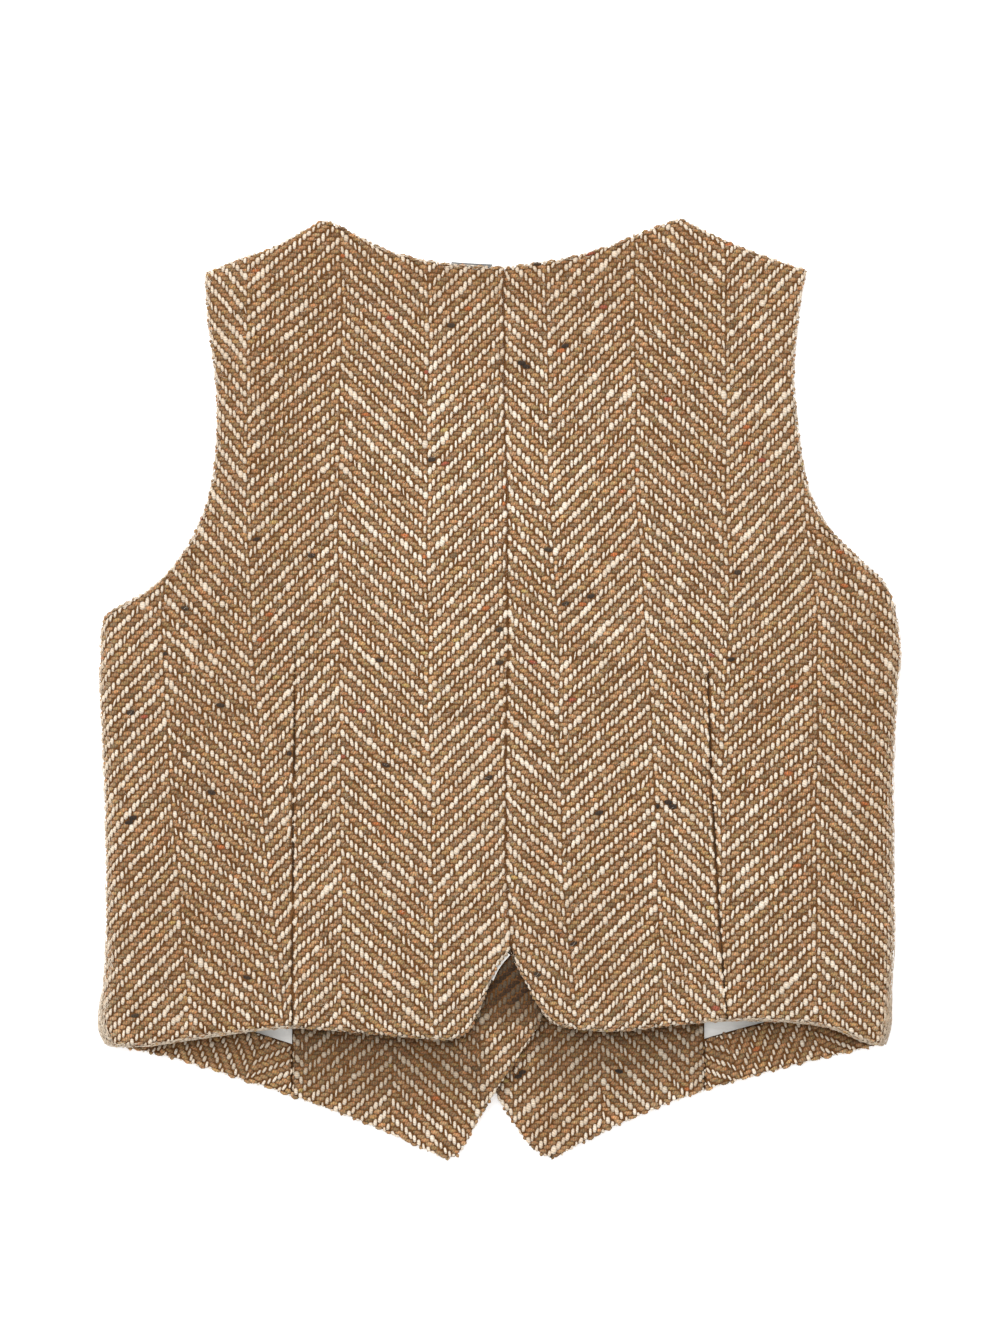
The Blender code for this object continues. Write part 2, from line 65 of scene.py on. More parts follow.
# the cut edges, in order round the garment, as (x, y)
centreBack = ((6.2, -145.9), (5.1, -120.0), (3.9, -85.0), (3.4, -45.0), (3.9, -5.0), (4.4, 40.0),
              (4.4, 125.0), (2.4, 165.0), (2.0, 215.0), (3.0, 236.3))
leftEdges = {
    "neck": ((3.0, 236.3), (-32.0, 238.6), (-62.0, 245.6), (-83.0, 256.0), (-99.4, 263.6)),
    "shoulder": ((-99.4, 263.6), (-124.6, 249.2), (-148.0, 240.6), (-164.6, 233.5)),
    "armhole": ((-164.6, 233.5), (-163.4, 208.0), (-158.4, 165.0), (-159.6, 125.0), (-168.0, 93.0),
                (-188.0, 62.5), (-222.6, 40.0)),
    "side": ((-222.6, 40.0), (-224.0, 5.0), (-221.0, -70.0), (-220.8, -150.0), (-224.4, -186.0),
             (-220.4, -199.4)),
    "hem": ((-220.4, -199.4), (-195.7, -199.2), (-160.0, -194.0), (-117.0, -189.3), (-70.0, -192.4),
            (-33.0, -195.4), (-19.0, -192.0), (-12.0, -181.0), (-2.5, -157.4), (6.2, -145.9)),
    "frontHem": ((-220.4, -199.4), (-183.4, -207.2), (-133.0, -222.9), (-99.4, -234.4),
                 (-65.8, -247.6), (-40.6, -259.0), (-30.5, -263.4), (-24.5, -262.4)),
    "frontEdge": ((-24.5, -262.4), (-19.5, -257.0), (-15.4, -249.2), (-5.5, -231.0), (12.0, -204.0),
                  (24.0, -184.0), (28.0, -160.0), (28.0, -60.0), (28.0, 35.0), (20.0, 66.0),
                  (-38.0, 165.0), (-83.0, 232.0), (-99.4, 263.6)),
}
rightEdges = {
    "neck": ((3.0, 236.3), (36.0, 241.2), (62.0, 248.4), (84.0, 257.6), (102.4, 263.8)),
    "shoulder": ((102.4, 263.8), (122.0, 254.0), (147.0, 243.8), (172.0, 235.0)),
    "armhole": ((172.0, 235.0), (167.8, 212.0), (165.0, 174.0), (168.0, 140.0), (173.2, 112.0),
                (184.0, 91.0), (202.6, 71.5), (215.0, 60.0), (222.6, 45.0)),
    "side": ((222.6, 45.0), (224.8, 22.0), (222.6, -8.0), (220.8, -50.0), (221.0, -95.0),
             (221.2, -140.0), (219.4, -172.0), (219.0, -188.0), (216.0, -199.4)),
    "hem": ((216.0, -199.4), (205.0, -197.4), (186.0, -189.8), (165.0, -186.2), (130.0, -185.2),
            (98.0, -187.4), (66.0, -190.8), (36.0, -188.4), (25.5, -182.0), (15.0, -165.0),
            (6.2, -145.9)),
    "frontHem": ((216.0, -199.4), (186.2, -206.1), (135.8, -219.0), (102.2, -229.8), (68.6, -243.8),
                 (43.4, -256.4), (32.0, -262.8), (25.0, -262.0)),
    "frontEdge": ((25.0, -262.0), (18.4, -257.6), (9.8, -247.0), (-3.0, -226.0), (-12.0, -204.0),
                  (-18.5, -184.0), (-22.0, -160.0), (-22.0, -60.0), (-22.0, 35.0), (-14.0, 66.0),
                  (44.0, 165.0), (88.0, 232.0), (102.4, 263.8)),
}
outward = {"left": 1.0, "right": -1.0}    # which way round the edges run

backHeights = {                           # the back's outer side over the table
    "y": (-200.0, -80.0, 40.0, 150.0, 250.0),
    "centre": (20.5, 18.0, 12.6, 7.5, 6.5),
    "middle": (17.0, 15.0, 12.0, 9.5, 9.0),
    "side": (15.5, 15.5, 13.5, 9.5, 9.0),
    "middleX": 110.0,
    "sideX": 215.0,
}
laps = {
    "centre": 3.0,                        # x of the button line
    "slope": 24.0,                        # over what width the left front climbs onto the right
    "lead": 5.0,
    "clearance": 0.5,
    "ridgeAcross": (27.0, 52.0),          # full height inside the first, none outside the second
    "ridgeBelow": (-172.0, -215.0),
    "ridgeAbove": (55.0, 110.0),
    "ridge": 3.3,
    "facingTop": -115.0,
    "facingFoot": -240.0,
    "facingSlope": 50.0,                  # over what height the lap gains the facing's layer
    "facingEdge": {"left": -116.2, "right": 114.8},
    "hemFacing": 28.0,
    "hemFacingInnerEdge": (-260.0, -150.0),
    "hemFacingFromSide": 7.5,
    "armholeScoop": 7.0,
}


def smoothLine(points, steps=12):
    # Hermite curve through the points: at t in a span it is the two ends weighted by 1-3tt+2ttt and
    # 3tt-2ttt plus half-chord tangents weighted by t-2tt+ttt and ttt-tt
    p = np.array(points, float)
    before = np.vstack([2 * p[0] - p[1], p[:-1]])
    after = np.vstack([p[1:], 2 * p[-1] - p[-2]])
    slope = (after - before) / 2
    t = np.linspace(0, 1, steps, endpoint=False)[None, :, None]
    start, end = p[:-1, None], p[1:, None]
    inside = (start * (2 * t**3 - 3 * t**2 + 1) + slope[:-1, None] * (t**3 - 2 * t**2 + t)
              + end * (3 * t**2 - 2 * t**3) + slope[1:, None] * (t**3 - t**2))
    return np.vstack([inside.reshape(-1, 2), p[-1:]])


def walked(line):
    # how far along the line each point is: the running sum of its steps
    return np.concatenate([[0.0], np.cumsum(np.hypot(*np.diff(line, axis=0).T))])


def shares(line):
    # the same as a share of the whole length
    return walked(line) / walked(line)[-1]


def sample(line, at):
    # the line's points at shares of its length
    far = walked(line)
    s = np.asarray(at) * far[-1]
    return np.stack([np.interp(s, far, line[:, 0]), np.interp(s, far, line[:, 1])], axis=1)


def joined(first, second, corner, at):
    # the same along two lines in turn, which meet at the share called corner
    at = np.asarray(at)
    onFirst = sample(first, np.clip(at / corner, 0, 1))
    onSecond = sample(second, np.clip((at - corner) / (1 - corner), 0, 1))
    return np.where((at <= corner)[:, None], onFirst, onSecond)


def rightHand(line):
    # unit normals on the line's right: each direction (x, y) becomes (y, -x)
    along = np.gradient(line, axis=0)
    along /= np.maximum(np.hypot(*along.T), 1e-9)[:, None]
    return np.stack([along[:, 1], -along[:, 0]], axis=1)


def movedIn(line, side, distance):
    # the line moved into its panel, along its normals
    return line - rightHand(line) * outward[side] * distance


def split(line, axis, value):
    # the line in two, where its x or y first passes the value
    beyond = (line[:, axis] - value) * np.sign(line[-1, axis] - line[0, axis]) > 0
    after = int(np.argmax(beyond))
    start, end = line[after - 1], line[after]
    at = start + (value - start[axis]) / (end[axis] - start[axis]) * (end - start)
    return np.vstack([line[:after], at]), np.vstack([at, line[after:]])


def nearest(points, line, side):
    # signed distance to the line, positive inside the panel, and the outward normal there
    distance = np.empty(len(points))
    normal = np.empty((len(points), 2))
    start, along = line[:-1], np.diff(line, axis=0)
    squared = np.maximum((along**2).sum(axis=1), 1e-12)
    unit = along / np.sqrt(squared)[:, None]
    normals = np.stack([unit[:, 1], -unit[:, 0]], axis=1) * outward[side]
    for low in range(0, len(points), 20000):
        p = points[low:low + 20000]
        toPoint = p[:, None] - start[None]
        share = np.clip((toPoint * along).sum(axis=2) / squared, 0, 1)
        off = toPoint - share[..., None] * along
        apart = np.hypot(off[..., 0], off[..., 1])
        which = apart.argmin(axis=1)
        row = np.arange(len(p))
        n = normals[which]
        sign = np.where((off[row, which] * n).sum(axis=1) > 0, -1.0, 1.0)
        distance[low:low + 20000] = apart[row, which] * sign
        normal[low:low + 20000] = n
    return distance, normal


def ease(value):
    # from 0 to 1 with level ends: 3vv - 2vvv
    value = np.clip(value, 0, 1)
    return value * value * (3 - 2 * value)


def xAt(line, y):
    # x where the line passes each y, for a line whose y rises
    return np.interp(y, line[:, 1], line[:, 0])


def within(value, full, none):
    # 1 as far as full and 0 from none on, eased between them
    return ease((none - value) / (none - full))


lines = {
    "left": {name: smoothLine(points) for name, points in leftEdges.items()},
    "right": {name: smoothLine(points) for name, points in rightEdges.items()},
}
centreLine = smoothLine(centreBack)
for side in ("left", "right"):
    armhole = lines[side]["armhole"]
    scoop = np.sin(np.pi * shares(armhole))[:, None] * laps["armholeScoop"]
    lines[side]["frontArmhole"] = movedIn(armhole, side, scoop)

darts = {                 # each from its tip to the hem
    "left": smoothLine(((-114.2, 32.0), (-114.8, -30.0), (-115.3, -100.0), (-115.8, -189.0))),
    "right": smoothLine(((115.8, 32.0), (117.6, -30.0), (120.3, -85.0), (123.2, -132.0), (127.0, -186.0))),
}
seam = {                  # the grooves of the centre seam and the darts
    "width": 3.2,
    "depth": 1.5,
    "dartWidth": 2.2,
    "dartDepth": 1.9,
    "dartFade": 34.0,     # how far below its tip a dart is at full depth
}

# Soft waves of the back as it lies: from (x, y) to (x, y), half width and height, where a
# negative height is a trough.
softWaves = (
    ((-196.0, -22.0), (-128.0, -14.0), 13.0, -0.9),
    ((-204.0, -48.0), (-140.0, -52.0), 11.0, 0.6),
    ((-190.0, -66.0), (-136.0, -62.0), 10.0, -0.7),
    ((-206.0, -112.0), (-150.0, -150.0), 22.0, -1.2),
    ((-150.0, 165.0), (-95.0, 205.0), 18.0, -0.8),
    ((-120.0, 110.0), (-40.0, 150.0), 26.0, 0.7),
    ((36.0, 30.0), (96.0, 46.0), 12.0, -0.8),
    ((20.0, 70.0), (60.0, 58.0), 11.0, 0.6),
    ((128.0, -132.0), (166.0, -124.0), 12.0, -1.0),
    ((60.0, 160.0), (120.0, 120.0), 22.0, -0.7),
    ((146.0, -10.0), (196.0, -90.0), 22.0, 0.8),
    ((-60.0, -168.0), (60.0, -160.0), 16.0, 0.5),
)


def softHeight(points):
    # each wave is a bell across its line, from the nearest point of the line
    total = np.zeros(len(points))
    for start, end, width, height in softWaves:
        along = np.subtract(end, start)
        share = np.clip(((points - start) @ along) / (along @ along), 0, 1)
        apart = np.hypot(*(points - start - share[:, None] * along).T)
        total += height * np.exp(-((apart / width) ** 2))
    return total


def backHeight(points):
    # a parabola across through three heights, each read from its own column at this y
    known = np.array(backHeights["y"])
    y = np.clip(points[:, 1], known[0], known[-1])
    centre, middle, outer = (
        np.interp(y, *smoothLine(np.stack([known, backHeights[name]], axis=1)).T)
        for name in ("centre", "middle", "side"))
    mx, sx = backHeights["middleX"], backHeights["sideX"]
    x = np.minimum(np.abs(points[:, 0]), sx)
    return (centre * (x - mx) * (x - sx) / (mx * sx) + middle * x * (x - sx) / (mx * (mx - sx))
            + outer * x * (x - mx) / (sx * (sx - mx)))


def grooves(points, side):
    # depth of the centre seam and of the dart: a bell across each line, fading to the dart's tip
    x, y = points.T
    sink = seam["depth"] * np.exp(-((x - xAt(centreLine, y)) / seam["width"]) ** 2)
    line = darts[side][::-1]
    fade = ease((line[-1, 1] - y) / seam["dartFade"])
    return sink + seam["dartDepth"] * fade * np.exp(-((x - xAt(line, y)) / seam["dartWidth"]) ** 2)


def frontUnderside(points, side):
    # the laps lie on the buttons as one ridge; the left front climbs onto the right one
    x, y = points.T
    across = within(np.abs(x - laps["centre"]), *laps["ridgeAcross"])
    along = within(y, *laps["ridgeBelow"]) * within(y, *laps["ridgeAbove"])
    lift = across * along * laps["ridge"]
    if side == "right":
        return lift
    edgeX = xAt(lines["right"]["frontEdge"], y) - laps["lead"]
    onto = within(x, edgeX, edgeX - laps["slope"])
    layers = 1 + within(y, laps["facingTop"], laps["facingTop"] + laps["facingSlope"])
    return lift + onto * (layers * (cloth["wall"] + cloth["gap"]) + laps["clearance"])


def facingHeight(points, side):
    # a facing lies face up on its front: a gap and two walls above the front's underside
    return frontUnderside(points, side) + 2 * cloth["wall"] + cloth["gap"]


def foldAbove(points):
    # radius of a fold's upper half, which is a share of the back's height
    return backHeight(points) * cloth["foldShare"]


def foldBelow(points):
    # and of its lower half, which leaves the gap between them
    return backHeight(points) * (1 - cloth["foldShare"]) - cloth["gap"]


def makePanel(side, face, height, rolls):
    # face is 1 for a piece whose outer side is on top and -1 for one that lies face down;
    # rolls are (edge line, radius or function, how far round in radians)
    return {"side": side, "face": face, "height": height, "rolls": rolls}


def backPanel(side):
    edge = lines[side]
    rolls = [(edge[name], foldAbove, cloth["foldTurn"]) for name in ("side", "shoulder")]
    rolls += [(edge[name], cloth["turnedEdge"], cloth["backTurn"]) for name in ("armhole", "neck", "hem")]
    height = lambda points: backHeight(points) + softHeight(points) - grooves(points, side)
    return makePanel(side, 1, height, rolls)


def frontPanel(side):
    edge = lines[side]
    rolls = [(edge[name], foldBelow, cloth["foldTurn"]) for name in ("side", "shoulder")]
    rolls += [(edge[name], cloth["frontEdge"], cloth["frontTurn"])
              for name in ("frontHem", "frontEdge", "frontArmhole")]
    return makePanel(side, -1, lambda points: frontUnderside(points, side), rolls)


def facingPanel(side):
    edge = lines[side]
    edgeX = laps["facingEdge"][side]
    inner = np.array([[edgeX, laps["facingTop"]], [edgeX, laps["facingFoot"]]])
    rolls = [(edge[name], cloth["frontEdge"], cloth["frontTurn"]) for name in ("frontHem", "frontEdge")]
    rolls.append((inner, *cloth["facingInner"]))
    return makePanel(side, 1, lambda points: facingHeight(points, side), rolls)


def hemFacingPanel(side):
    edge = lines[side]
    upper = movedIn(edge["frontHem"], side, laps["hemFacing"])[::-1]
    edgeX = laps["facingEdge"][side] + outward[side] * cloth["gap"]
    inner = np.array([[edgeX, y] for y in laps["hemFacingInnerEdge"]])
    fromSide = movedIn(edge["side"], side, laps["hemFacingFromSide"])
    rolls = ((edge["frontHem"], cloth["frontEdge"], cloth["frontTurn"]), (upper, *cloth["hemFacingUpper"]),
             (inner, *cloth["hemFacingInner"]), (fromSide, *cloth["hemFacingUpper"]))
    return makePanel(side, 1, lambda points: facingHeight(points, side), rolls)


def radiusAt(radius, points):
    # a roll's radius is one number or a function of the place
    return radius(points) if callable(radius) else radius


def drape(panel, flat, lift):
    # A point of the flat cloth goes onto the lying panel. Within r of an edge it has turned by
    # a = (r - distance) / r: it moves in to r (1 - sin a) from the edge and sinks by r (1 - cos a).
    # lift moves it out along the surface's normal.
    place = flat.copy()
    sunk = np.zeros(len(flat))
    leastCosine = np.ones(len(flat))
    tilt = np.zeros((len(flat), 2))
    for line, radius, turn in panel["rolls"]:
        distance, normal = nearest(flat, line, panel["side"])
        r = radiusAt(radius, flat)
        angle = np.clip((r - distance) / r, 0, turn + 0.25)
        sine, cosine = np.sin(angle), np.cos(angle)
        moved = np.where(angle > 0, distance - r * (1 - sine), 0.0)
        place = place + normal * moved[:, None]
        sunk = np.maximum(sunk, r * (1 - cosine))
        leastCosine = np.minimum(leastCosine, cosine)
        tilt = tilt + normal * (sine * (angle > 0))[:, None]
    height = panel["height"](place)
    out = np.column_stack([tilt, leastCosine * panel["face"]])
    out /= np.maximum(np.linalg.norm(out, axis=1), 1e-6)[:, None]
    surface = np.column_stack([place, height - panel["face"] * sunk])
    return surface + out * np.asarray(lift)[:, None]


def inPanel(panel, flat):
    # whether each point lies on the panel, with what is turned round its edges
    keep = np.ones(len(flat), bool)
    for line, radius, turn in panel["rolls"]:
        distance, _ = nearest(flat, line, panel["side"])
        r = radiusAt(radius, flat)
        keep &= (r - distance) / r < turn
    return keep


def placed(name, data):
    obj = bpy.data.objects.new(name, data)
    bpy.context.scene.collection.objects.link(obj)
    return obj


def meshObject(name, points, triangles, material, part=None):
    mesh = bpy.data.meshes.new(name)
    mesh.vertices.add(len(points))
    mesh.vertices.foreach_set("co", (points * metre).astype(np.float32).ravel())
    mesh.loops.add(len(triangles) * 3)
    mesh.loops.foreach_set("vertex_index", triangles.astype(np.int32).ravel())
    mesh.polygons.add(len(triangles))
    mesh.polygons.foreach_set("loop_start", np.arange(0, len(triangles) * 3, 3, dtype=np.int32))
    mesh.polygons.foreach_set("use_smooth", np.ones(len(triangles), bool))
    mesh.update(calc_edges=True)
    mesh.validate()
    mesh.materials.append(material)
    obj = placed(name, mesh)
    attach(obj, "root")
    planUv(obj, points, triangles, part)
    return obj


def planUv(obj, points, triangles, part):
    # a map that looks straight down on the piece: x and y over the garment's own width and length
    mesh = obj.data
    layer = mesh.uv_layers.get("OFBake") or mesh.uv_layers.new(name="OFBake")
    reach = points[:, :2].max(axis=0) - points[:, :2].min(axis=0) + 2.0
    uv = (points[:, :2] - points[:, :2].min(axis=0) + 1.0) / reach
    corner = uv[triangles.ravel()]
    if part is not None:
        # the inner side of a wall has the right half of the map to itself
        half = np.repeat(part, 3)
        corner[:, 0] = corner[:, 0] * 0.49 + np.where(half, 0.505, 0.0)
    layer.data.foreach_set("uv", corner.astype(np.float32).ravel())


def patch(bottom, top, left, right):
    # a grid between four edges: the blend of both pairs, less the blend of the four corners
    u = shares(bottom)[:, None, None]
    v = shares(left)[None, :, None]
    between = (1 - v) * bottom[:, None] + v * top[:, None] + (1 - u) * left[None] + u * right[None]
    corners = (1 - u) * (1 - v) * bottom[0] + u * (1 - v) * bottom[-1]
    return between - corners - (1 - u) * v * top[0] - u * v * top[-1]


def spaced(count, first=0.0, last=0.0):
    # even shares, with closer ones over the rolls, whose shares of the width are first and last
    roll = 1 - np.sin(np.linspace(np.pi / 2, 0, 6)[:-1])
    start, end = roll * first, 1 - roll * last
    return np.unique(np.concatenate([start, np.linspace(first, 1 - last, count + 1), end]))


def facingOut(points, triangles):
    # turned round where the volume, the sum of (a x b) . c over the triangles, is below nothing
    a, b, c = (points[triangles[:, k]] for k in range(3))
    return triangles[:, ::-1] if (np.cross(a, b) * c).sum() < 0 else triangles


def wallOf(name, panel, plan, outer, inner, materials):
    # A closed wall over a grid of plan points. At distance d from an edge of radius r the surface
    # has turned by the angle whose sine is 1 - d / r. Both sides lie along its normal.
    flat = plan.reshape(-1, 2)
    sunk = np.zeros(len(flat))
    cosines = np.ones(len(flat))
    shift = np.zeros((len(flat), 2))
    shared = np.ones(len(flat))
    before = []
    for line, radius, _ in panel["rolls"]:
        distance, normal = nearest(flat, line, panel["side"])
        r = radiusAt(radius, flat)
        sine = np.clip(1 - np.maximum(distance, 0) / r, 0, 1)
        cosine = np.sqrt(1 - sine**2)
        sunk = np.maximum(sunk, r * (1 - cosine))
        cosines = np.minimum(cosines, cosine)
        shift = shift + sine[:, None] * normal
        for otherSine, otherNormal in before:
            shared = shared + sine * otherSine * (normal * otherNormal).sum(axis=1)
        before.append((sine, normal))
    middle = np.column_stack([flat, panel["height"](flat) - panel["face"] * sunk])
    out = np.column_stack([shift / shared[:, None], cosines * panel["face"]])
    rows, columns = plan.shape[:2]
    count = rows * columns
    number = np.arange(count).reshape(rows, columns)
    first = np.stack([number[:-1, :-1], number[1:, :-1], number[1:, 1:]], axis=-1).reshape(-1, 3)
    second = np.stack([number[:-1, :-1], number[1:, 1:], number[:-1, 1:]], axis=-1).reshape(-1, 3)
    halves = np.concatenate([first, second])
    around = np.concatenate([number[:-1, 0], number[-1, :-1], number[:0:-1, -1], number[0, :0:-1]])
    following = np.roll(around, -1)
    rim = np.concatenate([np.stack([around, following, following + count], axis=-1),
                          np.stack([around, following + count, around + count], axis=-1)])
    points = np.concatenate([middle + out * outer, middle + out * inner])
    triangles = facingOut(points, np.concatenate([halves, halves[:, ::-1] + count, rim]))
    isInner = np.repeat([False, True, False], [len(halves), len(halves), len(rim)])
    obj = meshObject(name, points, triangles, materials[0], isInner)
    if len(materials) > 1:
        obj.data.materials.append(materials[1])
        obj.data.polygons.foreach_set("material_index", isInner.astype(np.int32))
    return obj


spindles = {
    # rings along a float as (place from -1 to 1, share of full girth), and sides round it; the painted shade
    # runs from the tips, darkest where they dive between other yarns, by way of each ring
    "full": {"rings": ((-0.66, 0.80), (0.0, 1.0), (0.66, 0.80)), "sides": 5,
             "shade": (0.50, 0.85, 1.07, 0.85, 0.50)},
    "plain": {"rings": ((0.0, 1.0),), "sides": 4, "shade": (0.6, 1.05, 0.6)},
}


def spindleMesh(kind):
    # unit points as (place along, place across, place up) and triangles of one closed spindle
    ring = spindles[kind]["rings"]
    sides = spindles[kind]["sides"]
    angle = np.pi / 2 + np.arange(sides) * 2 * np.pi / sides
    points = [(-1.0, 0.0, 0.0)]
    for place, girth in ring:
        points += [(place, girth * np.cos(a), girth * np.sin(a)) for a in angle]
    points.append((1.0, 0.0, 0.0))
    last = len(points) - 1
    # the painted shade of each point, by its ring
    shade = np.repeat(spindles[kind]["shade"], [1] + [sides] * len(ring) + [1])
    triangles = []
    for k in range(sides):
        n = (k + 1) % sides
        triangles.append((0, 1 + n, 1 + k))
        triangles.append((last, last - sides + k, last - sides + n))
        for r in range(len(ring) - 1):
            a, b = 1 + r * sides + k, 1 + r * sides + n
            triangles += [(a, b, b + sides), (a, b + sides, a + sides)]
    return np.array(points), np.array(triangles), shade


def paint(obj, colours):
    layer = obj.data.color_attributes.new("yarnColour", "FLOAT_COLOR", "POINT")
    layer.data.foreach_set("color", colours.astype(np.float32).ravel())


def layYarns(name, panel, floats, colours, material, kind, settle=0.0):
    # Every float is one spindle along its direction on the flat cloth. It is draped point by point,
    # and its ends dive by the square of the place along it.
    unit, faces, depth = spindleMesh(kind)
    count, size = len(floats["x"]), len(unit)
    along = unit[None, :, 0] * floats["length"][:, None] / 2
    across = unit[None, :, 1] * floats["width"][:, None] / 2
    lean = floats["lean"][:, None]
    lengthwise = np.stack([np.sin(lean), np.cos(lean)], axis=-1)
    if floats["acrossCloth"]:
        lengthwise = np.stack([np.cos(lean), np.sin(lean)], axis=-1)
    sideways = np.stack([lengthwise[..., 1], -lengthwise[..., 0]], axis=-1)
    centre = np.stack([floats["x"], floats["y"]], axis=1)[:, None]
    flat = centre + lengthwise * along[..., None] + sideways * across[..., None]
    up = unit[None, :, 2] * floats["thick"][:, None] / 2
    dive = floats["dive"] * unit[None, :, 0] ** 2
    lift = -floats["thick"][:, None] / 2 + floats["top"][:, None] + up - dive - settle
    points = drape(panel, flat.reshape(-1, 2), lift.ravel())
    triangles = (faces[None] + (np.arange(count) * size)[:, None, None]).reshape(-1, 3)
    # The first triangles decide which way all faces point. They decide wrongly for back_weft_left and
    # hem_facing_warp_right, whose faces point inwards; facingOut would set them right.
    a, b, c = (points[triangles[:20, k]] - points[0] for k in range(3))
    if np.einsum("ij,ij->i", np.cross(a, b), c).sum() < 0:
        triangles = triangles[:, ::-1]
    obj = meshObject(name, points, triangles, material)
    print(name, len(triangles), "triangles")
    # painted shade between yarns, darkest at the tips: pale yarn gets less of it than brown
    depth = depth if floats["acrossCloth"] else depth ** 0.5
    shade = np.ones((count, size, 4))
    shade[..., :3] = colours[:, None] * depth[None, :, None]
    paint(obj, shade)
    # place in the yarn: how far along it, how far round it and which float
    twist = obj.data.attributes.new("twist", "FLOAT_VECTOR", "POINT")
    around = np.broadcast_to(np.arctan2(unit[:, 1], unit[:, 2]) / np.pi, along.shape)
    start = dice.uniform(0, 90, count)[:, None]
    value = np.stack([along + start, around, 0 * along + start], axis=-1)
    twist.data.foreach_set("vector", value.astype(np.float32).ravel())
    return obj


weave = {
    "endPitch": 2.475,        # from one warp end to the next
    "pickPitch": 2.338,       # from one weft pick to the next
    "column": 20,             # ends between two turns of the herringbone
    "warpWidth": 2.0,
    "warpOver": 2.65,         # how much longer a float is than from its first pick to its last
    "warpThick": 1.5,
    "warpTop": 0.28,
    "warpLean": 0.15,         # radians, towards the twill line
    "weftWidth": 2.5,
    "weftOver": 3.5,
    "weftThick": 2.0,
    "weftTop": 0.08,
    "weftLean": 0.20,
    "dive": 0.9,
    "slubShare": 0.05,        # the share of floats that are swollen
    "bloom": 0.11,            # how much fuller the warp is around the small of the back
    "matsShare": 0.16,        # matted spots to a square centimetre
    "matsReach": (2.0, 6.5),  # and how far they reach along the twill line
    "seamRoom": 1.25,         # from a seam or dart to the nearest end beside it
    "seamCut": 0.9,           # how much a weft float is shortened there
    "edgeBulge": 0.75,        # how far weft floats stand out along an edge
}
uneven = {                    # how far floats stray, in mm, shares of a size or radians
    "warp": {"x": 0.14, "y": 0.26, "length": 0.09, "width": 0.16, "lean": 0.09, "top": 0.07},
    "weft": {"x": 0.08, "y": 0.14, "length": 0.15, "width": 0.08, "lean": 0.07, "top": 0.06},
}


def waves(index, along, lengths, seed):
    # irregular swell along each yarn: three sines of unlike length, each yarn with its own phases
    phase = np.random.default_rng(seed).uniform(0, 2 * np.pi, (4096, len(lengths)))
    total = np.zeros(len(along))
    for k, length in enumerate(lengths):
        total += np.sin(2 * np.pi * along / length + phase[index % 4096, k])
    return total / len(lengths)


def phases(ends):
    # how far each end's floats are shifted: a step of one from end to end, up in even columns and
    # down in odd ones, and a jump of two where the twill turns
    column = weave["column"]
    first = int(ends.min())
    steps = []
    for end in ends[1:]:
        turning = end % column == 0
        steps.append(2 if turning else (1 if (end // column) % 2 == 0 else -1))
    shift = np.concatenate([[0], np.cumsum(steps)])
    return shift - shift[-first if first <= 0 <= ends.max() else 0]


def evenPlaces(origin):
    # x of an end where the columns are straight and even; origin is the x of end 0
    return lambda end, y: origin + end * weave["endPitch"] + 0.0 * y


def tucked(x, line, sign, opening=1.0):
    # An end that would cross the line lies beside it. It has gone under once it is most of its own
    # width past the line. sign is 1 where the ends lie at the line's left, and opening the share of
    # the room that they keep from it.
    past = (x - line) * sign
    return np.where(past < 0.9, line + np.minimum(past, -weave["seamRoom"] * opening) * sign, np.nan)


def charted(side):
    # x of an end on a half of the back: read between the lines where the herringbone turns, which
    # lean with the garment's shape. The dart and the centre seam swallow the ends that cross them.
    turns = backCharts[side]["turns"]
    known = sorted(turns)
    line = darts[side][::-1]

    def place(end, y):
        at = {end: np.interp(y, chartHeights[::-1], turns[end][::-1]) for end in known}
        x = np.where(end < known[0], at[known[0]] + (end - known[0]) * weave["endPitch"],
                     at[known[-1]] + (end - known[-1]) * weave["endPitch"])
        for low, high in zip(known[:-1], known[1:]):
            pitch = (at[high] - at[low]) / (high - low)
            value = at[low] + (end - low) * pitch
            if (low, high) == backCharts[side]["dartBetween"]:
                dartX = xAt(line, y)
                opening = ease((line[-1, 1] - y) / seam["dartFade"])
                full = pitch + (np.maximum(pitch, 0.98 * weave["endPitch"]) - pitch) * opening
                fromLow = tucked(at[low] + (end - low) * full, dartX, 1, opening)
                fromHigh = tucked(at[high] - (high - end) * full, dartX, -1, opening)
                value = np.where(y < line[-1, 1], np.where(np.isnan(fromLow), fromHigh, fromLow), value)
            x = np.where((end >= low) & (end <= high), value, x)
        return tucked(x, xAt(centreLine, y), outward[side])
    return place


# where the herringbone turns on each half of the back: x at each height, by number of the end
chartHeights = (217.8, 105.8, 38.6, -6.2, -51.0, -95.8, -118.2, -140.6, -185.4)
backCharts = {
    "left": {
        "dartBetween": (-40, -20),
        "turns": {
            -60: (-182.0, -182.0, -187.5, -186.2, -182.4, -178.9, -176.7, -175.6, -172.8),
            -40: (-140.8, -139.7, -137.5, -134.7, -131.3, -128.0, -125.7, -122.4, -119.6),
            -20: (-87.6, -88.2, -88.6, -88.3, -87.4, -86.5, -86.6, -87.1, -87.1),
            0: (-38.9, -38.9, -38.9, -38.9, -37.0, -35.6, -35.6, -35.6, -35.6),
        },
    },
    "right": {
        "dartBetween": (20, 40),
        "turns": {
            0: (27.2, 29.4, 33.9, 33.9, 35.3, 36.7, 38.1, 39.5, 44.5),
            20: (76.4, 78.0, 82.6, 84.8, 88.2, 89.3, 89.9, 91.0, 92.1),
            40: (127.4, 128.5, 129.6, 126.3, 125.8, 125.2, 125.2, 125.2, 125.2),
            60: (174.0, 172.0, 178.4, 178.4, 178.4, 178.4, 178.4, 178.4, 178.4),
        },
    },
}


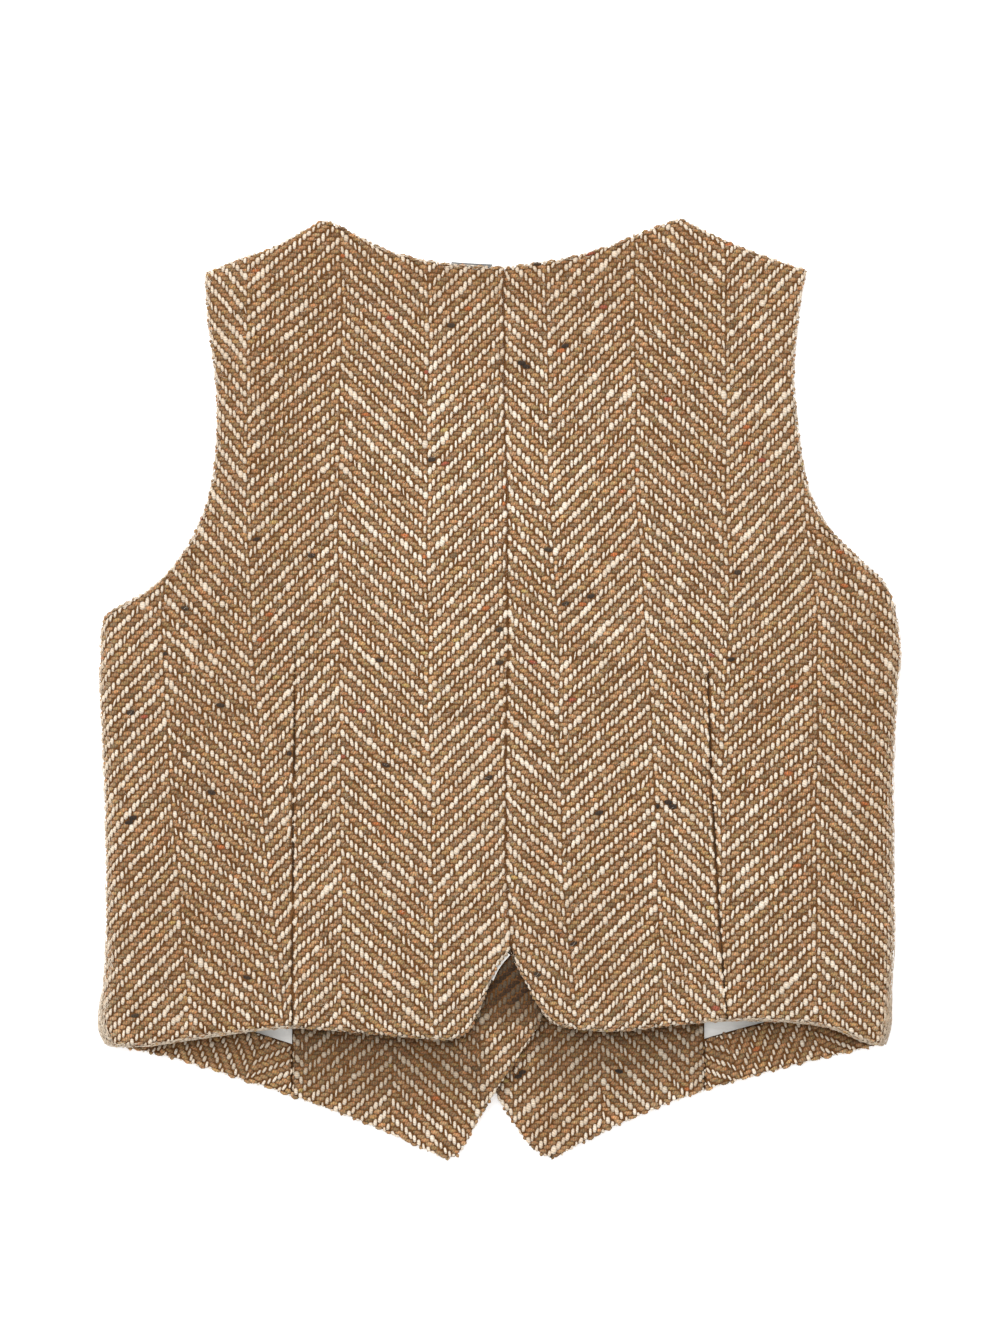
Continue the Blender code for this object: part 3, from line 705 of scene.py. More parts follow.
def runsOf(on, group):
    # first and last index of each unbroken run along the rows of a table, where a run also stops
    # between two groups
    same = np.zeros(on.shape, bool)
    same[:, 1:] = on[:, 1:] & on[:, :-1] & (group[:, 1:] == group[:, :-1])
    row, first = np.nonzero(on & ~same)
    last = np.zeros(on.shape, bool)
    last[:, -1] = on[:, -1]
    last[:, :-1] = on[:, :-1] & ~same[:, 1:]
    return row, first, np.nonzero(last)[1]


def matted(x, y, direction, seed):
    # how matted the cloth is at each float, 0 to 1: the highest of many bells, each drawn out
    # along the twill line
    rng = np.random.default_rng(seed)
    area = (x.max() - x.min() + 1) * (y.max() - y.min() + 1)
    count = int(area / 100 * weave["matsShare"])
    centre = np.stack([rng.uniform(x.min(), x.max(), count), rng.uniform(y.min(), y.max(), count)], axis=1)
    reach = rng.uniform(*weave["matsReach"], count)
    slope = 0.69 * direction[:, None]
    across, up = x[:, None] - centre[:, 0], y[:, None] - centre[:, 1]
    along = (across + slope * up) / np.hypot(1, slope)
    aside = (up - slope * across) / np.hypot(1, slope)
    apart = np.hypot(along / reach, aside / 1.9)
    return np.exp(-(apart**2)).max(axis=1)


def weaveFloats(place, ends, yLow, yHigh, panel, seed, turn=0.0, origin=(0.0, 0.0), girth=1.0):
    # The cloth's floats. Warp is on top at pick p of end e while (p - shift of e) mod 4 is 0 or 1,
    # and each unbroken run of either yarn on top is one float. turn is how far the cloth's grain
    # is turned round the origin, and girth how much stouter its warp is than the back's.
    ends = np.arange(*ends)
    pick = weave["pickPitch"]
    picks = np.arange(int(np.floor(yLow / pick)) - 2, int(np.ceil(yHigh / pick)) + 2)
    up = ((picks[None] - phases(ends)[:, None]) % 4) < 2
    rng = np.random.default_rng(seed)
    y = np.broadcast_to(picks * pick, up.shape)
    x = np.stack([place(end, picks * pick) for end in ends.astype(float)])
    # the cloth never lies quite square: two slow sines each way, about a millimetre in all
    swayX = 0.45 * np.sin(y / 31 + 1.3) + 0.35 * np.sin(y / 13 + x / 47)
    swayY = 0.7 * np.sin(x / 41 + 0.4) + 0.4 * np.sin(x / 17 + y / 60)
    here = ~np.isnan(x)
    x, y = np.where(here, x + swayX, 0), np.where(here, y + swayY, 0)
    x, y = (x * np.cos(turn) - y * np.sin(turn) + origin[0], x * np.sin(turn) + y * np.cos(turn) + origin[1])
    here[here] = inPanel(panel, np.stack([x[here], y[here]], axis=1))
    direction = np.where((ends // weave["column"]) % 2 == 0, 1.0, -1.0)
    stray = lambda yarn, what: rng.normal(0, uneven[yarn][what], count)

    row, first, last = runsOf(up & here, np.zeros(up.shape))
    count = len(row)
    slub = waves(ends[row] + 900, y[row, first], (23.0, 61.0, 170.0), seed + 1)
    burst = rng.random(count) < weave["slubShare"]
    mat = matted(x[row, first], y[row, first], direction[row], seed + 4)
    bloom = weave["bloom"] * np.exp(-((x[row, first] / 95) ** 2 + ((y[row, first] + 75) / 85) ** 2))
    over = np.hypot(x[row, last] - x[row, first], y[row, last] - y[row, first])
    warp = {
        "x": (x[row, first] + x[row, last]) / 2 + stray("warp", "x"),
        "y": (y[row, first] + y[row, last]) / 2 + stray("warp", "y"),
        "length": (over + weave["warpOver"] * girth) * (1.01 + stray("warp", "length") + 0.24 * mat),
        "width": weave["warpWidth"] * girth * (0.97 + bloom + 0.24 * slub + stray("warp", "width")
                                               + 0.45 * burst + 0.36 * mat),
        "thick": weave["warpThick"] * (1 + 0.12 * slub + 0.12 * burst),
        "lean": direction[row] * weave["warpLean"] - turn + stray("warp", "lean"),
        "top": weave["warpTop"] + stray("warp", "top") + 0.12 * burst + 0.22 * mat,
        "dive": weave["dive"], "acrossCloth": False, "end": ends[row], "mat": mat,
    }
    # beyond a break between two ends, as at a dart, the same pick is another float
    gap = np.diff(x, axis=0) > 1.6 * weave["endPitch"]
    shown = (here[1:] & here[:-1] & ~gap)
    none = np.zeros((1, len(picks)), bool)
    cutLow = (~np.concatenate([none, shown])).T
    cutHigh = (~np.concatenate([shown, none])).T
    group = np.cumsum(cutLow, axis=1)
    row, first, last = runsOf((~up & here).T, group)
    count = len(row)
    start = np.stack([x.T[row, first], y.T[row, first]], axis=1)
    end = np.stack([x.T[row, last], y.T[row, last]], axis=1)
    grain = np.array([np.cos(turn), np.sin(turn)])
    start = start - grain * (weave["weftOver"] / 2 - weave["seamCut"] * cutLow[row, first])[:, None]
    end = end + grain * (weave["weftOver"] / 2 - weave["seamCut"] * cutHigh[row, last])[:, None]
    slub = waves(picks[row] + 1900, start[:, 0], (19.0, 47.0, 130.0), seed + 2)
    burst = rng.random(count) < 0.4 * weave["slubShare"]
    twill = np.where(first == last, 0.0, direction[first])
    centre = (start + end) / 2
    weft = {
        "x": centre[:, 0] + stray("weft", "x"),
        "y": centre[:, 1] + stray("weft", "y"),
        "length": np.hypot(*(end - start).T) + stray("weft", "length"),
        "width": weave["weftWidth"] * (1 + 0.10 * slub + stray("weft", "width") + 0.2 * burst),
        "thick": weave["weftThick"] * (1 + 0.08 * slub + 0.1 * burst),
        "lean": turn + twill * weave["weftLean"] + stray("weft", "lean"),
        "top": weave["weftTop"] + stray("weft", "top"),
        "dive": weave["dive"], "acrossCloth": True, "end": picks[row],
    }
    for line, radius, _ in panel["rolls"]:
        if not callable(radius):
            distance, _ = nearest(centre, line, panel["side"])
            weft["top"] = weft["top"] + weave["edgeBulge"] * within(distance, 0.5, 3.0)
    return warp, weft


yarnColours = {
    # linear colours
    "cream": (0.915, 0.795, 0.645),
    "creamShade": (0.62, 0.48, 0.34),
    "weft": ((0.386, 0.219, 0.104), (0.394, 0.209, 0.097), (0.376, 0.224, 0.097), (0.340, 0.203, 0.098),
             (0.386, 0.213, 0.104), (0.366, 0.210, 0.108), (0.420, 0.256, 0.133)),
    "fleck": ((0.46, 0.15, 0.05), (0.36, 0.10, 0.055), (0.48, 0.32, 0.12), (0.06, 0.04, 0.025)),
    "fleckShare": (0.004, 0.0025, 0.002, 0.0007),
    # where a dark slub takes in the floats beside it, and where it is one float, with their colours
    "darkSlubs": ((130.8, 16.2), (87.1, -65.0), (94.6, -65.0), (-205.2, -73.4), (14.0, 181.5),
                  (65.9, -214.9), (12.4, -216.0)),
    "darkSlub": (0.035, 0.022, 0.015),
    "smallSlubs": ((50.2, 53.5), (-115.8, -38.3), (-6.7, -50.3), (41.7, -140.7), (-65.0, 17.8),
                   (-104.4, 73.2), (-206.4, -14.6), (-142.3, -160.2), (-63.4, -41.0), (56.2, -68.5),
                   (-156.2, -11.9), (-37.3, 129.4), (-136.2, 84.3), (36.5, 194.1), (-185.8, 21.5),
                   (-161.3, -60.5)),
    "smallSlub": (0.05, 0.032, 0.022),
    "fawn": (0.72, 0.54, 0.36),
    # where the cloth is paler or deeper, partly in its own tone and partly as painted shade and light: x, y,
    # how far across and up it reaches, and by what part
    "places": ((-158, 60, 48, 150, -0.11), (-142, 185, 60, 60, -0.09), (205, 25, 36, 150, -0.12),
               (5, 240, 110, 36, -0.19), (150, 150, 55, 80, -0.07), (-178, -136, 52, 34, -0.11),
               (26, -133, 30, 30, -0.09), (-18, 104, 64, 62, 0.12), (118, -72, 60, 60, 0.06),
               (26, -245, 30, 30, -0.22), (-84, -240, 30, 26, -0.12), (88, -205, 36, 26, 0.12)),
    "placesTint": (0.76, 1.03, 1.3),
}


def toneAndPaintedShade(x, y):
    # A factor on the yarns' colours: 1 plus a bell for each of the places, which make the cloth darker or
    # paler there, partly as its own uneven tone and partly as painted shade and light. Blue changes most, so
    # a deeper place is warmer too.
    across, up, wide, high, depth = np.array(yarnColours["places"]).T
    bells = np.exp(-((x[:, None] - across) / wide) ** 2 - ((y[:, None] - up) / high) ** 2)
    return 1 + (bells @ depth)[:, None] * np.array(yarnColours["placesTint"])


# painted shade of the cloth under the back's hem and in the vent, and painted light along the fronts' lower
# edges
paintedHemShade = {
    "least": 0.56,            # what is left of the colour right under the back's hem
    "gain": 0.50,             # and how much more of it away from there
    "start": 14,
    "reach": 38,
    "laps": 0.95,             # the laps keep at least this, below the vent
    "lowEdge": 0.3,           # gained along the fronts' lower edges
    "most": 1.1,
    "vent": 0.78,             # lost in the vent
    "warmth": (1.0, 1.12, 1.28),
}


def paintedShadeUnderBack(x, y, lift=1.0):
    # painted shade: how much of its colour the cloth below the back's hem keeps, for the shadow of the back:
    # least at the hem and in the vent, and all of it towards the points; the fronts' lower edges get painted
    # light
    points = np.stack([x, y], axis=1)
    away = np.full(len(x), 1e3)
    for side in ("left", "right"):
        distance, _ = nearest(points, lines[side]["hem"], side)
        away = np.minimum(away, np.maximum(-distance, 0))
    shade = paintedHemShade["least"] + paintedHemShade["gain"] * ease((away - paintedHemShade["start"]) / paintedHemShade["reach"])
    middle = within(np.abs(x - 6), 10, 26)
    shade = np.maximum(shade, paintedHemShade["laps"] * middle * ease((-178 - y) / 12))
    vent = within(np.abs(x - 3), 30, 40) * ease((y + 192) / 24)
    for side in ("left", "right"):
        distance, _ = nearest(points, lines[side]["frontHem"], side)
        shade = shade + paintedHemShade["lowEdge"] * within(np.abs(distance), 1, 6)
    # the painted shade is warmer, for what light gets there has passed between brown yarns
    shade = np.minimum(shade * lift, paintedHemShade["most"]) * (1 - paintedHemShade["vent"] * vent)
    return shade[:, None] ** np.array(paintedHemShade["warmth"])


# painted highlight along the side fold and round the hem's corner
foldHighlight = {
    "part": 0.14,             # how far the yarns of the side fold go to fawn
    "cornerPart": 0.32,       # and how much farther at the hem's corner
    "cornerReach": 26.0,
    "full": 3.0,              # to this distance from the fold, and none of it from the next one on
    "none": 11.0,
    "cornerWider": 5.0,
}


def paintedFoldHighlight(colours, floats, side):
    # Painted highlight along the side fold: a mix with fawn that fades inwards, and a bell round the hem's
    # corner.
    spots = np.stack([floats["x"], floats["y"]], axis=1)
    distance, _ = nearest(spots, lines[side]["side"], side)
    corner = np.exp(-(np.hypot(*(spots - lines[side]["hem"][0]).T) / foldHighlight["cornerReach"]) ** 2)
    fade = within(distance, foldHighlight["full"], foldHighlight["none"] + foldHighlight["cornerWider"] * corner)
    mix = ((foldHighlight["part"] + foldHighlight["cornerPart"] * corner) * fade)[:, None]
    return colours * (1 - mix) + np.array(yarnColours["fawn"]) * mix


def warpColours(floats, seed):
    # cream, mixed with its shade by slow waves along each end, by chance and less in a mat
    rng = np.random.default_rng(seed)
    cream, shade = np.array(yarnColours["cream"]), np.array(yarnColours["creamShade"])
    mix = np.clip(0.13 + 0.20 * waves(floats["end"] + 50, floats["y"], (37.0, 90.0, 11.0), seed)
                  + rng.normal(0, 0.17, len(floats["x"])) - 0.2 * floats["mat"], -0.08, 0.9)[:, None]
    return (cream * (1 - mix) + shade * mix) * toneAndPaintedShade(floats["x"], floats["y"])


def weftColours(floats, seed):
    # the brown yarn is spun from several colours, which change every few floats along it
    rng = np.random.default_rng(seed)
    palette = np.array(yarnColours["weft"])
    count = len(floats["x"])
    a = (waves(floats["end"], floats["x"], (31.0, 73.0, 190.0), seed + 3) + 1) / 2 * len(palette)
    index = np.floor(a + rng.normal(0, 0.9, count)).astype(int) % len(palette)
    colour = palette[index] * (1 + rng.normal(0, 0.16, count))[:, None]
    draw = rng.random(count)
    low = 0.0
    for fleck, share in zip(yarnColours["fleck"], yarnColours["fleckShare"]):
        colour[(draw >= low) & (draw < low + share)] = fleck
        low += share
    for x, y in yarnColours["darkSlubs"]:
        away = np.hypot((floats["x"] - x) / 1.8, floats["y"] - y)
        if count and away.min() < 4:
            colour[away < max(away.min() + 0.3, 1.9)] = yarnColours["darkSlub"]
    for x, y in yarnColours["smallSlubs"]:
        away = np.hypot(floats["x"] - x, floats["y"] - y)
        if count and away.min() < 3:
            colour[away.argmin()] = yarnColours["smallSlub"]
    return np.clip(colour * toneAndPaintedShade(floats["x"], floats["y"]), 0.01, 0.95)


nap = {
    # loose fibres: how many to a square centimetre, their length and width, and how far they stand
    "share": 3.2,
    "length": (2.5, 7.0),
    "width": 0.14,
    "rise": 0.7,
    "root": 0.30,             # how far above the cloth's surface the middle of a fibre lies
    # along an edge: how many to a centimetre, how far round its roll they lie, in radians
    "edgeShare": 30.0,
    "edgeTurn": (0.4, 1.35),
    "edgeWidth": 0.30,
}


def layFibres(name, panel, x, y, angle, length, width, rise, colours, material):
    # Each fibre is a thin closed spindle of three sides, bent to one side in the middle. Its ends
    # stand off the cloth by up to rise.
    count = len(x)
    turn = np.arange(3) * 2 * np.pi / 3
    ring = np.stack([np.zeros(3), np.cos(turn), np.sin(turn)], axis=1)
    unit = np.vstack([[-1, 0, 0], ring, [1, 0, 0]])
    faces = np.array([(0, 2, 1), (0, 3, 2), (0, 1, 3), (4, 1, 2), (4, 2, 3), (4, 3, 1)])
    along = unit[None, :, 0] * length[:, None] / 2
    bend = dice.normal(0, 0.12, count)[:, None] * length[:, None] * (1 - unit[None, :, 0] ** 2)
    across = unit[None, :, 1] * width[:, None] / 2 + bend
    way = np.stack([np.cos(angle), np.sin(angle)], axis=1)[:, None]
    side = np.stack([-np.sin(angle), np.cos(angle)], axis=1)[:, None]
    flat = np.stack([x, y], axis=1)[:, None] + way * along[..., None] + side * across[..., None]
    ends = np.where(unit[None, :, 0] < 0, dice.uniform(0, 1, (count, 1)), dice.uniform(0, 1, (count, 1)))
    lift = (nap["root"] + unit[None, :, 2] * width[:, None] / 2
            + rise[:, None] * ends * unit[None, :, 0] ** 2)
    points = drape(panel, flat.reshape(-1, 2), lift.ravel())
    triangles = (faces[None] + (np.arange(count) * 5)[:, None, None]).reshape(-1, 3)
    obj = meshObject(name, points, triangles, material)
    paint(obj, np.repeat(np.column_stack([colours, np.ones(count)]), 5, axis=0))
    print(name, len(triangles), "triangles")
    return obj


def napOf(name, panel, box, edges, material, seed):
    # loose fibres strewn over the panel inside the box, and a downy rim along its edges
    rng = np.random.default_rng(seed)
    (xLow, yLow), (xHigh, yHigh) = box
    count = int((xHigh - xLow) * (yHigh - yLow) / 100 * nap["share"])
    x, y = rng.uniform(xLow, xHigh, count), rng.uniform(yLow, yHigh, count)
    keep = inPanel(panel, np.stack([x, y], axis=1))
    x, y = x[keep], y[keep]
    angle = rng.uniform(0, np.pi, len(x))
    length = rng.uniform(*nap["length"], len(x))
    width = nap["width"] * rng.uniform(0.7, 1.3, len(x))
    rise = nap["rise"] * rng.uniform(0, 1.5, len(x))
    pieces = [(x, y, angle, length, width, rise)]
    for line, share, radius in edges:
        far = walked(line)[-1]
        count = int(far / 10 * nap["edgeShare"] * share)
        at = rng.uniform(0, 1, count)
        spot = sample(line, at)
        ahead = sample(line, np.clip(at + 1 / far, 0, 1)) - sample(line, np.clip(at - 1 / far, 0, 1))
        angle = np.arctan2(ahead[:, 1], ahead[:, 0]) + rng.normal(0, 0.26, count)
        inward = np.stack([-ahead[:, 1], ahead[:, 0]], axis=1) / np.hypot(*ahead.T)[:, None]
        r = radiusAt(radius, spot)
        turned = nap["edgeTurn"][0] + np.diff(nap["edgeTurn"]) * rng.uniform(0, 1, count) ** 0.7
        spot = spot + inward * (outward[panel["side"]] * r * (1 - turned))[:, None]
        pieces.append((spot[:, 0], spot[:, 1], angle, rng.uniform(*nap["length"], count),
                       nap["edgeWidth"] * rng.uniform(0.4, 1.5, count), 0.5 * rng.uniform(0, 1, count)))
    x, y, angle, length, width, rise = (np.concatenate(values) for values in zip(*pieces))
    mix = rng.uniform(-0.1, 0.6, len(x))[:, None]
    colours = np.array(yarnColours["cream"]) * (1 - mix) + np.array(yarnColours["fawn"]) * mix
    return layFibres(name, panel, x, y, angle, length, width, rise, colours, material)


crease = {
    # the dark thread and painted shade sunk in a dart's crease: its width, and its top and bottom above the
    # cloth's surface
    "width": 1.35,
    "top": -0.05,
    "bottom": -1.3,
}


def layCrease(name, panel, line, material):
    # A strip of thread and painted shade in the dart's crease: a diamond of about that width at each station
    # of the line, drawn out to nothing at the dart's tip. Its faces point inwards; facingOut would set them
    # right.
    at = np.linspace(0.03, 0.997, 150)
    spot = sample(line, at)
    uneven = 0.72 + 0.28 * waves(np.full(len(at), 7), at * walked(line)[-1], (5.0, 9.0, 23.0), 77)
    half = (crease["width"] / 2 * ease(at / 0.16) * uneven)[:, None] + 0.02
    ring = np.array([(-1.0, crease["top"] - 0.25), (0.0, crease["top"]), (1.0, crease["top"] - 0.25),
                     (0.0, crease["bottom"])])
    across = ring[:, 0] * half
    flat = spot[:, None] + np.stack([across, np.zeros_like(across)], axis=2)
    lift = np.broadcast_to(ring[:, 1], (len(at), 4))
    points = drape(panel, flat.reshape(-1, 2), lift.ravel())
    row = np.arange(len(at) - 1)[:, None] * 4
    turn = np.arange(4)
    a, b = row + turn, row + (turn + 1) % 4
    walls = np.concatenate([np.stack([a, b, b + 4], axis=2), np.stack([a, b + 4, a + 4], axis=2)])
    last = 4 * (len(at) - 1)
    caps = np.array([(0, 2, 1), (0, 3, 2), (last, last + 1, last + 2), (last, last + 2, last + 3)])
    triangles = np.concatenate([walls.reshape(-1, 3), caps])
    obj = meshObject(name, points, triangles, material)
    return obj


def setInputs(node, values):
    for socket, value in values.items():
        node.inputs[socket].default_value = value
    return node


def newMaterial(name, values):
    # a material whose shader has these inputs, and what adds a node to it and links two sockets
    material = bpy.data.materials.new(name)
    material.use_nodes = True
    tree = material.node_tree

    def node(kind, values=None, operation=None):
        made = tree.nodes.new("ShaderNode" + kind)
        if operation:
            made.operation = operation
        return setInputs(made, values or {})

    return material, setInputs(tree.nodes["Principled BSDF"], values), node, tree.links.new


def yarnMaterial(name, tints, spread, plies):
    # Wool yarn: its own colour, streaked by fibres that wind round it, with painted shade between its plies
    # and painted light on them. spread is the shade from the darkest streak to the palest, plies the painted
    # shade between the plies and the painted light on them.
    material, shader, node, link = newMaterial(name, {
        "Roughness": 0.92, "Sheen Weight": 0.15, "Sheen Tint": (1.0, 0.92, 0.82, 1), "Sheen Roughness": 0.6,
        "Specular IOR Level": 0.15})

    def scaledTo(source, fromMin, fromMax, toMin, toMax):
        made = node("MapRange", {"From Min": fromMin, "From Max": fromMax, "To Min": toMin, "To Max": toMax})
        link(source, made.inputs["Value"])
        return made.outputs["Result"]

    colour, twist, place = node("Attribute"), node("Attribute"), node("TexCoord")
    colour.attribute_name, twist.attribute_name = "yarnColour", "twist"
    # the plies: a sine of the place along the yarn plus the place round it
    turns = node("VectorMath", {1: (4.4, 3.6, 0.0)}, "DOT_PRODUCT")
    link(twist.outputs["Vector"], turns.inputs[0])
    ply = node("Math", None, "SINE")
    link(turns.outputs["Value"], ply.inputs[0])
    # the fibres: noise drawn out along the yarn and wound round it
    wound = node("VectorMath", {1: (1.3, 4.2, 1.0)}, "MULTIPLY")
    link(twist.outputs["Vector"], wound.inputs[0])
    streak = node("TexNoise", {"Scale": 1.0, "Detail": 3.0, "Roughness": 0.7})
    link(wound.outputs["Vector"], streak.inputs["Vector"])
    hues = node("TexNoise", {"Scale": 1000.0, "Detail": 3.0})
    link(place.outputs["Object"], hues.inputs["Vector"])
    shade = node("Math", None, "MULTIPLY")
    link(scaledTo(streak.outputs["Fac"], 0.3, 0.7, *spread), shade.inputs[0])
    # painted shade between the plies and painted light on them
    link(scaledTo(ply.outputs[0], -1.0, 1.0, *plies), shade.inputs[1])
    tint = node("Mix")
    tint.data_type = "RGBA"
    setInputs(tint, {"A": (*tints[0], 1), "B": (*tints[1], 1)})
    link(scaledTo(hues.outputs["Fac"], 0.36, 0.64, 0.0, 1.0), tint.inputs["Factor"])
    tinted = node("VectorMath", None, "MULTIPLY")
    link(colour.outputs["Color"], tinted.inputs[0])
    link(tint.outputs["Result"], tinted.inputs[1])
    scaled = node("VectorMath", None, "SCALE")
    link(tinted.outputs["Vector"], scaled.inputs[0])
    link(shade.outputs[0], scaled.inputs["Scale"])
    link(scaled.outputs["Vector"], shader.inputs["Base Color"])
    height = node("Math", {1: 0.35}, "MULTIPLY_ADD")
    link(ply.outputs[0], height.inputs[0])
    link(streak.outputs["Fac"], height.inputs[2])
    bump = node("Bump", {"Strength": 0.5, "Distance": 0.0003})
    link(height.outputs[0], bump.inputs["Height"])
    link(bump.outputs["Normal"], shader.inputs["Normal"])
    return material


def noisyMaterial(name, low, high, scale, roughness, gloss, bumpDistance, stretch=(1.0, 1.0, 1.0)):
    # two colours mixed by noise, which also raises the surface a little
    material, shader, node, link = newMaterial(name, {"Roughness": roughness, "Specular IOR Level": gloss})
    place, turned = node("TexCoord"), node("Mapping", {"Scale": stretch})
    link(place.outputs["Object"], turned.inputs["Vector"])
    noise = node("TexNoise", {"Scale": scale, "Detail": 4.0})
    link(turned.outputs["Vector"], noise.inputs["Vector"])
    ramp = node("ValToRGB")
    for stop, at, colour in zip(ramp.color_ramp.elements, (0.32, 0.68), (low, high)):
        stop.position = at
        stop.color = (*colour, 1)
    link(noise.outputs["Fac"], ramp.inputs["Fac"])
    link(ramp.outputs["Color"], shader.inputs["Base Color"])
    bump = node("Bump", {"Strength": 0.6, "Distance": bumpDistance})
    link(noise.outputs["Fac"], bump.inputs["Height"])
    link(bump.outputs["Normal"], shader.inputs["Normal"])
    return material


creamYarn = yarnMaterial("cream wool yarn", ((1.06, 0.98, 0.91), (0.95, 1.01, 1.06)),
                         (0.76, 1.16), (0.82, 1.06))
brownYarn = yarnMaterial("brown wool yarn", ((1.19, 0.935, 0.82), (0.82, 1.055, 1.08)),
                         (0.50, 1.54), (0.72, 1.16))
# the ground under the yarns: its dark colour is painted shade between them
ground = noisyMaterial("tweed ground in painted shade", (0.078, 0.033, 0.011), (0.20, 0.092, 0.033), 900.0, 0.95, 0.05, 0.0004)
satin = noisyMaterial("satin lining", (0.93, 0.92, 0.885), (0.98, 0.97, 0.94), 120.0, 0.42, 0.5, 0.00005,
                      (1.0, 9.0, 1.0))
# the neck lining's satin, made grey as painted shade
neckLiningShade = noisyMaterial("neck lining satin in painted shade", (0.14, 0.145, 0.15), (0.21, 0.215, 0.22), 300.0, 0.6, 0.3, 0.00005)
fibre = yarnMaterial("loose wool fibre", ((1.0, 1.0, 1.0), (1.0, 1.0, 1.0)), (0.9, 1.05), (1.0, 1.0))
# the dart's thread, darkened as painted shade of its crease
threadAndDartShade = noisyMaterial("sewing thread and painted dart shade", (0.032, 0.016, 0.007), (0.075, 0.038, 0.016),
                             500.0, 0.9, 0.1, 0.0001)
horn = noisyMaterial("horn button", (0.045, 0.025, 0.015), (0.16, 0.09, 0.05), 160.0, 0.3, 0.5, 0.00002)


def layCloth(name, side, panel, floats, seed, shaded, kind="full", settle=0.0):
    # both yarns of one piece of cloth; shaded can paint light or shade into their colours by where the floats
    # are
    warp, weft = floats
    yarns = (("warp", warp, warpColours(warp, seed), creamYarn),
             ("weft", weft, weftColours(weft, seed + 1), brownYarn))
    return [layYarns("%s_%s_%s" % (name, yarn, side), panel, which, shaded(colours, which), material, kind,
                     settle)
            for yarn, which, colours, material in yarns]


def backPlan(side, across, up):
    # a grid from the hem to the shoulder and neck, between the side and the centre seam
    edge = lines[side]
    hemLine, neckLine = edge["hem"].copy(), edge["neck"].copy()
    half = centreLine - np.array([outward[side] * cloth["seamGap"] / 2, 0.0])
    neckLine[0], hemLine[-1] = half[-1], half[0]
    return patch(sample(hemLine, across), joined(edge["shoulder"][::-1], neckLine[::-1], 0.42, across),
                 joined(edge["side"][::-1], edge["armhole"][::-1], 0.54, up), sample(half, up))


backWeave = {                 # the ends used, the seed, and the box of the loose fibres
    "left": ((-92, 30), 100, ((-226.0, -202.0), (8.0, 266.0))),
    "right": ((-20, 92), 200, ((-2.0, -202.0), (226.0, 266.0))),
}


def makeBack(side):
    panel = backPanel(side)
    across, up = spaced(66, 0.04, 0.0), spaced(84, 0.016, 0.016)
    plan = backPlan(side, across, up)
    shell = wallOf("back_cloth_" + side, panel, plan, -cloth["ground"], -cloth["wall"], (ground, satin))
    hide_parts("back_" + side)
    ends, seed, box = backWeave[side]
    warp, weft = weaveFloats(charted(side), ends, -204.0, 272.0, panel, seed)
    # painted highlight along the side fold
    shaded = lambda colours, floats: paintedFoldHighlight(colours, floats, side)
    warpYarns, weftYarns = layCloth("back", side, panel, (warp, weft), 5, shaded)
    edge = lines[side]
    sideLow = split(edge["side"], 1, -140.0)[1]
    corner = split(edge["side"], 1, -172.0)[1]
    r = cloth["turnedEdge"]
    hemOuter, hemInner = split(edge["hem"], 0, -outward[side] * 112.0)
    # each rim of fibres: its line, how dense it is and the radius that it lies round
    rims = ((hemOuter, 1.1, r), (hemInner, 0.12, r), (sideLow, 0.7, foldAbove), (corner, 2.2, foldAbove),
            (corner - np.array([outward[side] * 3.6, 0.0]), 1.3, 3.4),
            (edge["neck"], 0.3, r), (edge["armhole"], 0.4, r), (edge["side"], 0.45, foldAbove))
    down = napOf("back_nap_" + side, panel, box, rims, fibre, 700)
    thread = layCrease("dart_thread_and_shade_" + side, panel, darts[side], threadAndDartShade)
    print("back", side, len(warp["x"]), "warp and", len(weft["x"]), "weft floats")


for side in ("left", "right"):
    makeBack(side)


